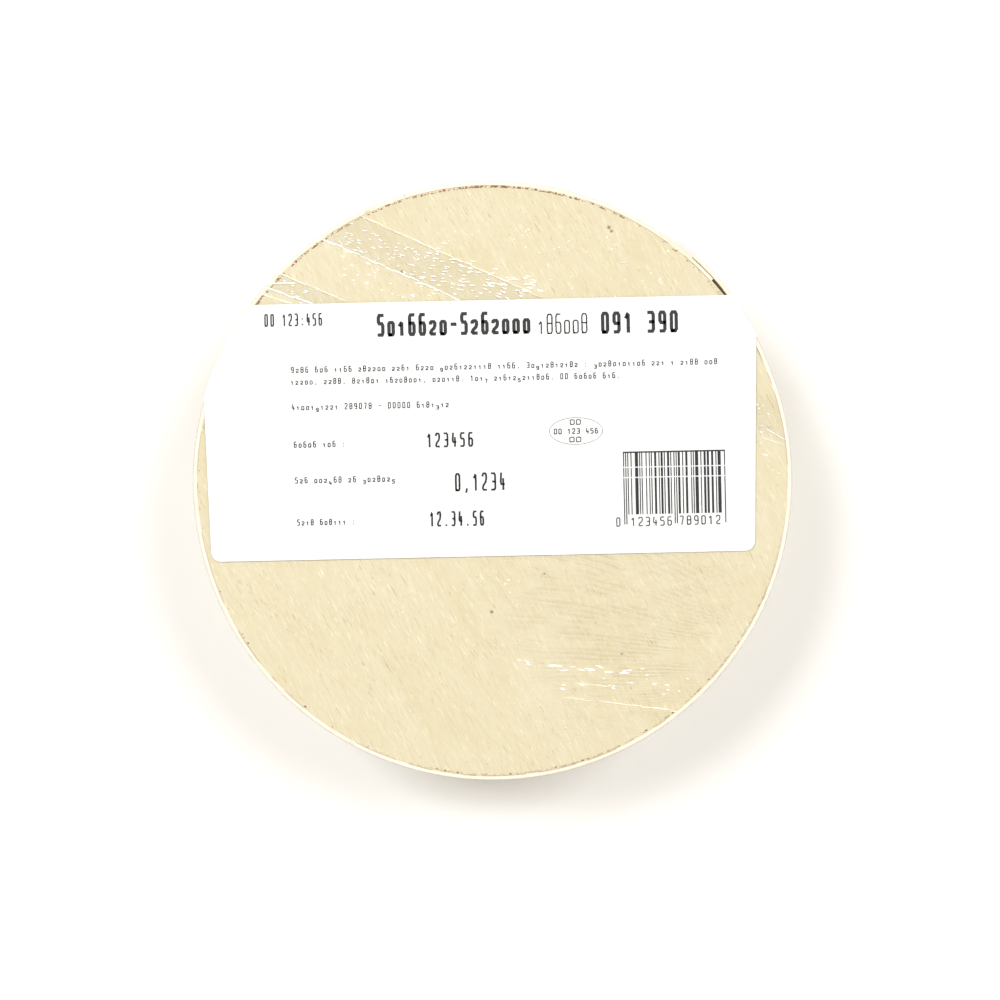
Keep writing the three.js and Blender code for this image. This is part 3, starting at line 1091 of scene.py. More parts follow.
def tube(bm: bmesh.types.BMesh, points: Sequence[Vector], radius: float, sides: int) -> None:
    """Adds a round bar along a line.

    Args:
        bm: the mesh that it is added to.
        points: the line's points, in millimetres.
        radius: the bar's radius.
        sides: how many sides its section has.
    """
    frames = []
    side = None
    for index, point in enumerate(points):
        ahead = points[min(index + 1, len(points) - 1)] - points[max(index - 1, 0)]
        ahead.normalize()
        side = ahead.orthogonal() if side is None else side - ahead * side.dot(ahead)
        side.normalize()
        other = ahead.cross(side)
        turn = Matrix((side, other, ahead)).transposed().to_4x4()
        frames.append(Matrix.Translation(point) @ turn)
    ring = [
        Vector((radius * math.cos(math.tau * k / sides), radius * math.sin(math.tau * k / sides), 0))
        for k in range(sides)
    ]
    sweep(bm, chain(bm, ring, closed=True), frames)


@dataclass
class SeamCrumbs:
    """The small dark crumbs along the seam between the lid's panel and its strip."""

    radius: float = 69.18
    arcs: tuple[tuple[float, float, int], ...] = (
        (62.0, 170.0, 170), (-115.0, -25.0, 55), (172.0, 245.0, 14)
    )
    finish: Finish = field(default_factory=SeamCrumb)

    def build(self) -> None:
        """Scatters the crumbs, close together round the worn arc and rarely elsewhere."""
        bm = bmesh.new()
        draw = random.Random(31)
        for start, stop, count in self.arcs:
            for _ in range(count):
                spin = Matrix.Rotation(math.radians(draw.uniform(start, stop)), 4, "Z")
                reach = self.radius - abs(draw.gauss(0.0, 0.09))
                place = spin @ Matrix.Translation((reach, 0, SIZES.lid_top + 0.02))
                size = draw.choice((1.0, 1.0, 1.0, 1.6)) * draw.uniform(0.07, 0.13)
                turned = place @ Matrix.Rotation(draw.gauss(0.0, 0.5), 4, "Z")
                flake(bm, turned, (size, size * draw.uniform(1.0, 2.0), 0.05), 0.6)
        new_piece("seam_crumbs", bm, self.finish, crease=50.0)


@dataclass
class WoodenBox:
    """The lid and the base, each a panel in a stapled hoop."""

    panel_finish: Finish = field(default_factory=PanelVeneer)
    strip_finish: Finish = field(default_factory=StripVeneer)
    wire_finish: Finish = field(default_factory=StapleWire)

    def build(self) -> None:
        """Builds the panels, hoops and staples."""
        Panel("lid_veneer", "lid_disc", 40, 195, 1.0).build(self.panel_finish)
        Panel("base_veneer", "base_disc", 200, 20, 5.0, swell=0.0).build(self.panel_finish)
        Hoop("lid_strip", "lid_hoop", SIZES.lid_lap, 2.0).build(self.strip_finish)
        Hoop("base_strip", "base_hoop", SIZES.base_lap, 9.0, rows=24).build(self.strip_finish)
        for node in sorted(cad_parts):
            if "staple" in node:
                crown = Crown.UPRIGHT if "lap" in node else Crown.ALONG_RIM
                Staple(node, crown).build(self.wire_finish)
        SeamCrumbs().build()


# ----------------------------------------------------------------------------------------- film


@dataclass(frozen=True)
class FilmSkin:
    """The surface that the film follows round the box."""

    rim_bend: float = 0.35
    top_gap: float = 0.05
    side_gap: float = 0.08
    underside: float = 0.04

    def line(self, offset: float) -> list[Vector]:
        """Draws the film's section from the axis on top to the axis underneath.

        Args:
            offset: how far outside the film's own surface it runs.

        Returns:
            The section's points.
        """
        top = SIZES.film_top - self.top_gap + offset
        rim = SIZES.film_radius - self.side_gap + offset
        foot = rim - (SIZES.lid_radius - SIZES.base_radius)
        bend = self.rim_bend
        points = [Vector((reach, 0, top)) for reach in (0, 4, 8, *range(12, 68, 4), 68.5, 69.6)]
        points += [
            Vector((rim - bend + bend * math.sin(turn), 0, top - bend + bend * math.cos(turn)))
            for turn in (math.radians(step) for step in (0, 30, 60, 90))
        ]
        rows = 12
        drop = (top - bend - SIZES.lid_bottom) / rows
        points += [Vector((rim, 0, top - bend - drop * row)) for row in range(1, rows + 1)]
        return points + self._below(rim, foot)

    def _below(self, rim: float, foot: float) -> list[Vector]:
        """Draws the section from the lid's lower edge to the axis underneath."""
        rows, low = 20, 0.45
        high = SIZES.lid_bottom
        points = [
            Vector((rim + (foot - rim) * row / rows, 0, high + (low - high) * row / rows))
            for row in range(1, rows + 1)
        ]
        points += [Vector((foot - 0.05, 0, 0.16)), Vector((foot - 0.35, 0, self.underside))]
        reaches = (66, *range(63, 6, -3), 6, 3.5, 1.5, 0)
        return points + [Vector((reach, 0, self.underside)) for reach in reaches]

    def lifted(self, point: Vector) -> Vector:
        """Moves a point out where the film passes over a hoop's lap."""
        out = plan(point)
        if out.length < SIZES.base_radius - 2:
            return point
        angle = angle_of(point)
        upper = SIZES.lid_lap.film_lift(angle)
        lower = SIZES.base_lap.film_lift(angle)
        share = smooth_step(0, SIZES.lid_bottom, point.z)
        lift = upper if point.z > SIZES.lid_bottom - 0.5 else lower + (upper - lower) * share
        return point + out.normalized() * lift


@dataclass
class FilmWrap:
    """The clear film, with its pleats and creases."""

    skin: FilmSkin = field(default_factory=FilmSkin)
    thickness: float = 0.03
    pleat_thickness: float = 0.02
    pleat_reach: float = 69.7
    steps: int = 420
    side_folds: int = 64
    wrap_finish: Finish = field(default_factory=ClearFilm)
    pleat_finish: Finish = field(default_factory=DoubledFilm)
    glint_finish: Finish = field(default_factory=FilmGlint)
    fold_finish: Finish = field(default_factory=FilmFold)
    # Painted highlight on the side folds, with a faint painted glow.
    crimp_finish: Finish = field(default_factory=lambda: FilmFold("film_crimp_highlight", cover=0.07, glow=0.1))

    def build(self) -> None:
        """Builds the wrap, its pleats and its creases."""
        self._wrap()
        for number, pleat in enumerate(PLEATS, 1):
            self._pleat(number, pleat)
        self._creases()

    def _wrap(self) -> None:
        """Builds the film that goes all the way round."""
        bm = bmesh.new()
        spin_round(bm, chain(bm, self.skin.line(0.0)), self.steps)
        move_each(bm, lambda point: self._drawn(self.skin.lifted(point)))
        thicken(bm, self.thickness)
        new_piece("cling_wrap", bm, self.wrap_finish, ["film_wrap"], 70.0)

    @staticmethod
    def _drawn(point: Vector) -> Vector:
        """Draws the film in between the hoops and gathers it underneath."""
        out = plan(point)
        distance = out.length
        angle = angle_of(point)
        if 0.4 < point.z < SIZES.lid_bottom - 0.1:
            up = point.z / SIZES.lid_bottom
            room = 0.08 + 2.0 * up
            folds = round_noise(angle + 9 * up, 60, 3.0) + 0.6 * round_noise(angle - 14 * up, 130, 5.0)
            slack = math.sin(math.pi * up) ** 0.7
            point -= out.normalized() * room * slack * (0.32 + 0.35 * max(-0.9, min(0.9, folds)))
        elif point.z <= 0.4 and distance < SIZES.base_radius - 1:
            gather = 1 - distance / SIZES.base_radius
            pleats = round_noise(angle + 60 * gather, 90, 8.0) + round_noise(angle, 34, 2.0)
            point.z = 0.05 + 0.14 * (0.5 + 0.5 * max(-1.0, min(1.0, 1.5 * pleats)))
        return point

    def _pleat(self, number: int, pleat: "Pleat") -> None:
        """Builds one flat pleat as the part of the film between two lines."""
        section = self.skin.line(0.04 + self.pleat_thickness * number)
        flat = [spot for spot in section if spot.x < self.pleat_reach and spot.z > SIZES.lid_top]
        bm = bmesh.new()
        spin_round(bm, chain(bm, flat), self.steps)
        for line, keep_left in ((pleat.upper, False), (pleat.lower, True)):
            cut_away(bm, plan(line.start), line.normal(keep_left))
        move_each(bm, self.skin.lifted)
        thicken(bm, self.pleat_thickness)
        new_piece(f"film_pleat_{number}", bm, self.pleat_finish, crease=70.0)

    def _creases(self) -> None:
        """Builds the long creases and the short glints as slivers lying on the film."""
        for name, finish, creases in (
            ("film_folds", self.fold_finish, FOLDS), ("film_creases", self.glint_finish, CREASES),
        ):
            bm = bmesh.new()
            for crease in creases:
                self._sliver_line(bm, crease)
            new_piece(name, bm, finish, crease=80.0)
        bm = bmesh.new()
        draw = random.Random(11)
        for patch in GLINTS:
            patch.scatter(bm, draw)
        for column in COLUMNS:
            column.stack(bm, draw)
        new_piece("film_glints", bm, self.glint_finish, crease=80.0)
        self._side_folds()

    def _side_folds(self) -> None:
        """Builds the long soft folds where the film is drawn in under the lid and over the base, as faint
        slivers with a painted highlight.
        """
        bm = bmesh.new()
        draw = random.Random(23)
        for _ in range(self.side_folds):
            angle, drift, width = draw.uniform(0, 360), draw.gauss(0, 7), draw.uniform(0.12, 0.42)
            head = draw.choice((draw.uniform(26, 33), draw.uniform(38, 49)))
            foot = max(2.0, head - draw.uniform(7, 26))
            bow = draw.uniform(-2.5, 2.5)
            cuts = max(2, round((head - foot) / 3))
            marks = [step / cuts for step in range(cuts + 1)]
            turns = [angle + drift * mark + bow * math.sin(math.pi * mark) for mark in marks]
            path = [self._resting(turn, head + (foot - head) * mark) for turn, mark in zip(turns, marks)]
            for mark, (above, below) in zip(marks, pairwise(path)):
                middle = (above + below) / 2
                wide = width * (0.35 + math.sin(math.pi * min(1.0, mark + 0.5 / cuts)))
                self._side_sliver(bm, middle, below - above, wide)
        new_piece("film_side_folds", bm, self.crimp_finish, crease=80.0)

    @staticmethod
    def _side_sliver(bm: bmesh.types.BMesh, middle: Vector, along: Vector, wide: float) -> None:
        """Adds one thin sliver lying on the film at the box's side."""
        out = plan(middle).normalized()
        heading = (along - out * along.dot(out)).normalized()
        turn = Matrix((heading, out.cross(heading), out)).transposed().to_4x4()
        flake(bm, Matrix.Translation(middle + out * 0.03) @ turn, (along.length * 0.62, wide, 0.03))

    def _resting(self, angle: float, height: float) -> Vector:
        """Gives the film's own place on the box's side."""
        slope = min(1.0, height / SIZES.lid_bottom)
        step_in = SIZES.lid_radius - SIZES.base_radius
        reach = SIZES.film_radius - self.skin.side_gap - step_in * (1 - slope)
        point = self.skin.lifted(direction(angle) * reach + Vector((0, 0, height)))
        return self._drawn(point)

    @staticmethod
    def _sliver_line(bm: bmesh.types.BMesh, crease: "Crease") -> None:
        """Lays one long crease along its line."""
        start, end = plan(crease.start), plan(crease.end)
        length = (end - start).length
        along = math.atan2(end.y - start.y, end.x - start.x)
        cuts = max(2, round(length / 2.2))
        for index in range(cuts):
            middle = start.lerp(end, (index + 0.5) / cuts)
            middle += Vector((0, noise.noise(middle * 0.4) * crease.width, 0))
            wide = crease.width * (0.85 + 0.9 * noise.noise(middle * 0.7))
            sliver(bm, middle, length / cuts * 0.62, wide / 2, along + 0.15 * noise.noise(middle))


@dataclass(frozen=True)
class Line:
    """A straight line in plan, in millimetres."""

    start: Place
    end: Place

    def normal(self, keep_left: bool) -> Vector:
        """Gives the direction away from the side that is kept."""
        along = (plan(self.end) - plan(self.start)).normalized()
        right = Vector((along.y, -along.x, 0))
        return right if keep_left else -right


@dataclass(frozen=True)
class Pleat:
    """A doubled strip of film between two lines."""

    upper: Line
    lower: Line


@dataclass(frozen=True)
class Crease:
    """A long crease in the film, drawn as pale slivers that carry a painted highlight."""

    start: Place
    end: Place
    width: float


@dataclass(frozen=True)
class GlintPatch:
    """A patch of short creases that catch the light."""

    start: Place
    end: Place
    spread: float
    count: int
    length: float = 1.3
    width: float = 0.3
    slope: float = -8.0

    def scatter(self, bm: bmesh.types.BMesh, draw: random.Random) -> None:
        """Lays the patch's glints.

        Args:
            bm: the mesh that they are added to.
            draw: where the random numbers come from.
        """
        start, end = plan(self.start), plan(self.end)
        across = Vector((start.y - end.y, end.x - start.x, 0)).normalized()
        for _ in range(self.count):
            middle = start.lerp(end, draw.random()) + across * draw.uniform(-1, 1) * self.spread
            if middle.length > SIZES.lid_radius - 1.2:
                continue
            long = self.length * draw.uniform(0.35, 1.0)
            turn = math.radians(self.slope + draw.gauss(0, 7))
            sliver(bm, middle, long / 2, self.width * draw.uniform(0.5, 1.0) / 2, turn)


@dataclass(frozen=True)
class GlintColumn:
    """Short creases stacked in a leaning column, as stretched film gathers beside a fold."""

    foot: Place
    head: Place
    pitch: float = 0.95
    length: float = 1.9
    width: float = 0.3
    slope: float = -12.0

    def stack(self, bm: bmesh.types.BMesh, draw: random.Random) -> None:
        """Lays the column's glints.

        Args:
            bm: the mesh that they are added to.
            draw: where the random numbers come from.
        """
        foot, head = plan(self.foot), plan(self.head)
        rows = round((head - foot).length / self.pitch)
        for row in range(rows):
            middle = foot.lerp(head, (row + draw.uniform(0.2, 0.8)) / rows)
            middle.x += draw.uniform(-0.7, 0.7)
            long = self.length * draw.uniform(0.35, 1.0)
            turn = math.radians(self.slope + draw.gauss(0, 6))
            sliver(bm, middle, long / 2, self.width * draw.uniform(0.6, 1.1) / 2, turn)


def sliver(bm: bmesh.types.BMesh, middle: Vector, half: float, wide: float, turn: float) -> None:
    """Adds a thin pointed sliver lying on the film.

    Args:
        bm: the mesh that it is added to.
        middle: its centre in plan.
        half: half its length.
        wide: half its width.
        turn: its turn about +Z, in radians.
    """
    place = Matrix.Translation((middle.x, middle.y, SIZES.film_top + 0.03))
    flake(bm, place @ Matrix.Rotation(turn, 4, "Z"), (half, wide, 0.02))


UPPER_FOLD = Line((-31.9, 62.5), (11.2, 43.2))
LOWER_FOLD = Line((-41.0, 57.3), (-7.6, 42.5))
CORNER_FOLD = Line((-50.0, 48.6), (-34.7, 42.2))
CORNER_EDGE = Line((-53.5, 44.8), (-42.5, 41.5))
PLEATS = (Pleat(UPPER_FOLD, LOWER_FOLD), Pleat(CORNER_FOLD, CORNER_EDGE))
FOLDS = (
    Crease((-31.6, 62.5), (11.2, 43.3), 0.3),
    Crease((-50.0, 48.7), (-34.7, 42.3), 0.28),
    Crease((62.6, 12.7), (65.8, 12.9), 0.22),
    Crease((63.2, 10.0), (68.6, 8.4), 0.2),
    Crease((17.0, -50.9), (44.0, -54.2), 0.3),
    Crease((20.0, -47.6), (27.0, -48.4), 0.2),
)
CREASES = (
    Crease((-40.9, 57.2), (-7.6, 42.5), 0.36),
    Crease((-53.3, 45.6), (-42.4, 41.6), 0.45),
    Crease((-53.0, 46.6), (-46.5, 46.2), 0.35),
    Crease((-54.5, 44.0), (-47.5, 41.6), 0.2),
    Crease((64.6, 12.2), (68.9, 9.6), 0.22),
)
COLUMNS = (
    GlintColumn((-17.5, 45.2), (-11.5, 56.0)),
    GlintColumn((-13.5, 43.6), (-9.0, 52.5)),
    GlintColumn((-8.8, 43.6), (-4.0, 52.2)),
    GlintColumn((-3.6, 43.0), (0.8, 50.2)),
    GlintColumn((1.5, 43.2), (4.6, 48.4)),
    GlintColumn((6.3, 43.0), (9.4, 46.4)),
)
GLINTS = (
    GlintPatch((-35.0, 57.8), (-16.0, 50.4), 3.4, 64, length=1.3, width=0.26, slope=-12),
    GlintPatch((-14.0, 49.0), (12.0, 44.2), 3.2, 46, length=1.8, slope=-12),
    GlintPatch((11.5, -43.8), (37.5, -44.9), 0.7, 15, length=2.8, width=0.30, slope=-3),
    GlintPatch((14.0, -47.0), (48.0, -48.6), 2.4, 16, length=1.4, width=0.32, slope=-4),
    GlintPatch((-2.0, -22.5), (8.0, -26.5), 2.5, 5, length=0.8, slope=-30),
    GlintPatch((3.0, -41.3), (9.0, -43.3), 0.5, 4, length=1.4, slope=-12),
    GlintPatch((-36.0, 50.5), (-14.0, 42.6), 3.6, 24, length=1.2, slope=-20),
    GlintPatch((-14.0, 62.0), (40.0, 47.0), 8.0, 30, length=0.6, width=0.34, slope=-20),
    GlintPatch((-50.0, 46.5), (-44.0, 43.0), 1.6, 8, length=1.6, slope=-14),
    GlintPatch((62.5, 22.0), (66.0, 0.0), 1.6, 10, length=0.8, slope=-35),
    GlintPatch((-40.0, -28.0), (40.0, -55.0), 20.0, 18, length=0.4, width=0.2, slope=-20),
)


# ---------------------------------------------------------------------------------------- label


@dataclass(frozen=True)
class LabelShape:
    """The label's outline and how it lies, shared by the paper and its print."""

    top_width: float = 131.4
    bottom_width: float = 128.2
    height: float = 60.2
    corner: float = 2.3
    trim: float = 0.4
    thickness: float = 0.1
    stand: float = 0.06
    centre: Place = (-2.6, 12.3)
    turn: float = 1.2

    def placed(self) -> Matrix:
        """Gives the place of the label's own axes."""
        spin = Matrix.Rotation(math.radians(self.turn), 4, "Z")
        return Matrix.Translation((*self.centre, 0)) @ spin

    def cuts(self) -> list[tuple[Vector, Vector]]:
        """Gives the outline as planes, each a point and the direction away from the label."""
        half_top, half_bottom, half = self.top_width / 2, self.bottom_width / 2, self.height / 2
        lean = math.atan2(half_top - half_bottom, self.height)
        planes = [(Vector((0, half, 0)), 90.0), (Vector((0, -half, 0)), -90.0)]
        planes += [(Vector((half_top - self.trim, half, 0)), -math.degrees(lean))]
        planes += [(Vector((-half_top, half, 0)), 180 + math.degrees(lean))]
        for side in (1, -1):
            trim = self.trim if side > 0 else 0.0
            hub = Vector((side * (half_bottom - self.corner) - trim, self.corner - half, 0))
            for step in (15, 30, 45, 60, 75):
                angle = -step if side > 0 else step - 180
                planes.append((hub + self.corner * direction(angle), angle))
        return [(point, direction(angle)) for point, angle in planes]


@dataclass
class Label:
    """The paper label, its upper corners folded down over the rim."""

    shape: LabelShape = field(default_factory=LabelShape)
    finish: Finish = field(default_factory=LabelStock)
    bend: float = 0.3
    steps: int = 420

    def build(self) -> bpy.types.Object:
        """Cuts the label from a flat round sheet and folds it over the box.

        Returns:
            The piece.
        """
        rim = self._rim()
        rings = [*range(0, 69, 3), rim - 0.8, rim - 0.3]
        rings += [rim + 0.15 * step for step in range(0, 5)]
        rings += [rim + 1.2 + 0.9 * step for step in range(0, 14)]
        bm = bmesh.new()
        spin_round(bm, chain(bm, [Vector((reach, 0, 0)) for reach in rings]), self.steps)
        placed = self.shape.placed()
        for point, away in self.shape.cuts():
            cut_away(bm, placed @ point, placed.to_3x3() @ away)
        move_each(bm, self._folded)
        bm.normal_update()
        if sum(face.normal.z for face in bm.faces) < 0:
            bmesh.ops.reverse_faces(bm, faces=bm.faces)
        thicken(bm, -self.shape.thickness)
        return new_piece("label_sheet", bm, self.finish, ["label"], 50.0)

    @staticmethod
    def _rim() -> float:
        """Gives the radius at which the label starts to fold."""
        return SIZES.film_radius - 0.25

    def _folded(self, point: Vector) -> Vector:
        """Takes a point of the flat sheet to where it lies on the box."""
        distance = point.length
        level = SIZES.film_top + self.shape.stand
        if distance < TINY:
            return Vector((0, 0, level))
        angle = angle_of(point)
        out = point.normalized()
        rim = self._rim() + SIZES.lid_lap.film_lift(angle)
        over = distance - rim
        if over <= 0:
            calm = 0.02 * noise.noise(point * 0.09) + 0.015
            return out * distance + Vector((0, 0, level + calm))
        arc = self.bend * math.pi / 2
        if over < arc:
            turn = over / self.bend
            reach = rim + self.bend * math.sin(turn)
            return out * reach + Vector((0, 0, level - self.bend * (1 - math.cos(turn))))
        drop = over - arc
        pucker = 0.10 * min(1.0, drop / 3) * (1 + math.sin(math.radians(angle) * 62))
        reach = rim + self.bend + 0.02 + pucker
        return out * reach + Vector((0, 0, level - self.bend - drop))


class Figures(Enum):
    """The figures that may stand for one kind of mark in a row of print."""

    SMALL = ("x", "012")
    TALL = ("d", "68")
    HANGING = ("p", "34579")
    FULL = ("N", "0123456789")


@dataclass(frozen=True)
class PrintRow:
    """A row of evenly spaced figures, placed by its left end and the foot of its full figures."""

    pattern: str
    left: float
    foot: float
    width: float
    height: float
    weight: float
    narrow: float = 0.62


@dataclass(frozen=True)
class PenFigures:
    """Plain pen-drawn figures on a grid two units wide and four high."""

    ease: float = 0.45

    def strokes(self, mark: str) -> list[list[Place]]:
        """Gives a mark's strokes, each a line of points."""
        square = [(0, 0), (2, 0), (2, 4), (0, 4), (0, 0), (1, 0)]
        drawn = {
            "0": [square],
            "1": [[(0.2, 3.0), (1.1, 4), (1.1, 0)]],
            "2": [[(0, 3.4), (0, 4), (2, 4), (2, 2.2), (0, 0.8), (0, 0), (2, 0)]],
            "3": [[(0, 4), (2, 4), (2, 0), (0, 0)], [(0.6, 2), (2, 2)]],
            "4": [[(0.4, 4), (0, 1.3), (2, 1.3)], [(1.5, 2.6), (1.5, 0)]],
            "5": [[(2, 4), (0, 4), (0, 2.3), (2, 2.3), (2, 0), (0, 0)]],
            "6": [[(1.8, 4), (0, 4), (0, 0), (2, 0), (2, 2.3), (0, 2.3)]],
            "7": [[(0, 4), (2, 4), (1, 0)]],
            "8": [square, [(0, 2.1), (2, 2.1)]],
            "9": [[(0.2, 0), (2, 0), (2, 4), (0, 4), (0, 1.8), (2, 1.8)]],
            "-": [[(0.1, 1.9), (1.9, 1.9)]],
            ".": [[(0.8, 0.1), (1.2, 0.1)]],
            ",": [[(1.1, 0.3), (0.7, -0.5)]],
            ":": [[(0.8, 0.3), (1.2, 0.3)], [(0.8, 2.3), (1.2, 2.3)]],
        }
        return drawn[mark]

    def eased(self, points: Sequence[Place]) -> list[Vector]:
        """Cuts the corners of a line of points."""
        line = [plan(point) for point in points]
        soft = [line[0]]
        for before, corner, after in zip(line, line[1:], line[2:]):
            for other in (before, after):
                reach = min(self.ease, 0.45 * (other - corner).length)
                soft.append(corner + (other - corner).normalized() * reach)
        return soft + [line[-1]]

    def mesh(self, mark: str, size: Place, weight: float, depth: float) -> bpy.types.Mesh:
        """Draws a mark as flat solid strokes.

        Args:
            mark: the figure.
            size: its width and height in millimetres.
            weight: the width of its strokes.
            depth: how thick the strokes are.

        Returns:
            The mesh.
        """
        bm = bmesh.new()
        across, along = (size[0] - weight) / 2, (size[1] - weight) / 4
        for stroke in self.strokes(mark):
            soft = self.eased(stroke) if len(stroke) > 2 else [plan(point) for point in stroke]
            spots = [Vector((point.x * across, point.y * along, 0)) for point in soft]
            ribbon(bm, spots, weight, depth)
        bmesh.ops.translate(bm, vec=(weight / 2, weight / 2, 0), verts=bm.verts)
        made = bpy.data.meshes.new("figure")
        bm.to_mesh(made)
        bm.free()
        return made


def ribbon(bm: bmesh.types.BMesh, points: Sequence[Vector], width: float, depth: float) -> None:
    """Adds a flat solid stroke along a line in plan.

    Args:
        bm: the mesh that it is added to.
        points: the line's points, in millimetres.
        width: the stroke's width.
        depth: its thickness, upwards.
    """
    frames = []
    for index, point in enumerate(points):
        before = points[index] - points[index - 1] if index else points[1] - points[0]
        after = points[index + 1] - points[index] if index + 1 < len(points) else before
        heading = before.normalized() + after.normalized()
        if heading.length < 1e-6:
            heading = after.copy()
        heading.normalize()
        mitre = 1 / max(0.5, heading.dot(after.normalized()))
        side = Vector((-heading.y, heading.x, 0)) * mitre
        turn = Matrix((side, Vector((0, 0, 1)), heading)).transposed().to_4x4()
        reach = -heading * width / 2 if index == 0 else heading * width / 2
        ends = index in (0, len(points) - 1)
        frames.append(Matrix.Translation(point + (reach * 0.6 if ends else Vector())) @ turn)
    half = width / 2
    ring = [Vector((*corner, 0)) for corner in ((-half, 0), (half, 0), (half, depth), (-half, depth))]
    sweep(bm, chain(bm, ring, closed=True), frames)


@dataclass
class LabelPrint:
    """Generic print: plain figures, an oval and a row of plain bars."""

    shape: LabelShape = field(default_factory=LabelShape)
    finish: Finish = field(default_factory=PrintInk)
    pen: PenFigures = field(default_factory=PenFigures)
    depth: float = 0.02
    clearance: float = 0.035
    small: float = 0.68

    def build(self) -> bpy.types.Object:
        """Lays all the print out and joins it into one piece.

        Returns:
            The piece.
        """
        bm = bmesh.new()
        self._bars(bm)
        self._oval(bm)
        draw = random.Random(7)
        for row in PRINT_ROWS:
            self._row(bm, row, draw)
        level = SIZES.film_top + self.shape.stand + self.shape.thickness + self.clearance
        place = Matrix.Translation((0, 0, level)) @ self.shape.placed()
        bmesh.ops.transform(bm, matrix=place, verts=bm.verts)
        return new_piece("label_print", bm, self.finish, crease=30.0)

    def _row(self, bm: bmesh.types.BMesh, row: PrintRow, draw: random.Random) -> None:
        """Adds one row of figures."""
        pitch = row.width / (len(row.pattern) - 1 + row.narrow)
        drawn = {}
        for place, mark in enumerate(row.pattern):
            kind = next((kind for kind in Figures if kind.value[0] == mark), None)
            figure = draw.choice(kind.value[1]) if kind else mark
            if figure == " ":
                continue
            short = kind in (Figures.SMALL, Figures.HANGING)
            key = (figure, short)
            if key not in drawn:
                size = (pitch * row.narrow, row.height * (self.small if short else 1.0))
                drawn[key] = self.pen.mesh(figure, size, row.weight, self.depth)
            drop = row.height * (1 - self.small) if kind is Figures.HANGING else 0.0
            shift = Matrix.Translation((row.left + pitch * place, row.foot - drop, 0))
            drawn[key].transform(shift)
            bm.from_mesh(drawn[key])
            drawn[key].transform(shift.inverted())
        for mesh in drawn.values():
            bpy.data.meshes.remove(mesh)

    def _bar(self, bm: bmesh.types.BMesh, low: Place, high: Place) -> None:
        """Adds one flat bar between two corners."""
        middle = Matrix.Translation(((low[0] + high[0]) / 2, (low[1] + high[1]) / 2, self.depth / 2))
        size = Matrix.Diagonal((high[0] - low[0], high[1] - low[1], self.depth, 1.0))
        bmesh.ops.create_cube(bm, size=1.0, matrix=middle @ size)

    def _bars(self, bm: bmesh.types.BMesh) -> None:
        """Adds a row of plain bars of random widths under a thin line, with two worn gaps across."""
        draw = random.Random(4)
        left, right, foot, head = 33.1, 57.1, -21.0, -6.2
        modules, line, half_gap, guard_drop = 95, 0.35, 0.11, 2.3
        module = (right - left) / modules
        self._bar(bm, (left, head - line), (right, head))
        at = 0
        while at < modules:
            guard = at < 3 or 45 <= at < 50 or at >= modules - 3
            wide = 1 if guard else draw.choice((1, 1, 2, 3, 1, 2))
            stops = [head - line]
            for gap in (-9.9, -12.3):
                stops += [gap + half_gap, gap - half_gap]
            stops.append(foot - guard_drop if guard else foot)
            for upper, lower in zip(stops[0::2], stops[1::2]):
                self._bar(bm, (left + at * module, lower), (left + (at + wide) * module, upper))
            at += wide + (1 if guard else draw.choice((1, 1, 2, 3, 2)))

    def _oval(self, bm: bmesh.types.BMesh) -> None:
        """Adds the thin outline of an oval."""
        centre, half, thick = (22.2, -1.1), (6.3, 3.2), 0.1
        place = Matrix.Translation((*centre, 0))
        rings = []
        for inset in (0.0, thick):
            made = bmesh.ops.create_circle(
                bm, segments=64, radius=1.0,
                matrix=place @ Matrix.Diagonal((half[0] - inset, half[1] - inset, 1.0, 1.0)),
            )
            rings += [edge for edge in bm.edges if all(vert in made["verts"] for vert in edge.verts)]
        bridged = bmesh.ops.bridge_loops(bm, edges=rings)
        raised = bmesh.ops.extrude_face_region(bm, geom=bridged["faces"])
        verts, _ = split_geometry(raised["geom"])
        bmesh.ops.translate(bm, vec=(0, 0, self.depth), verts=verts)
        bmesh.ops.recalc_face_normals(bm, faces=bm.faces)


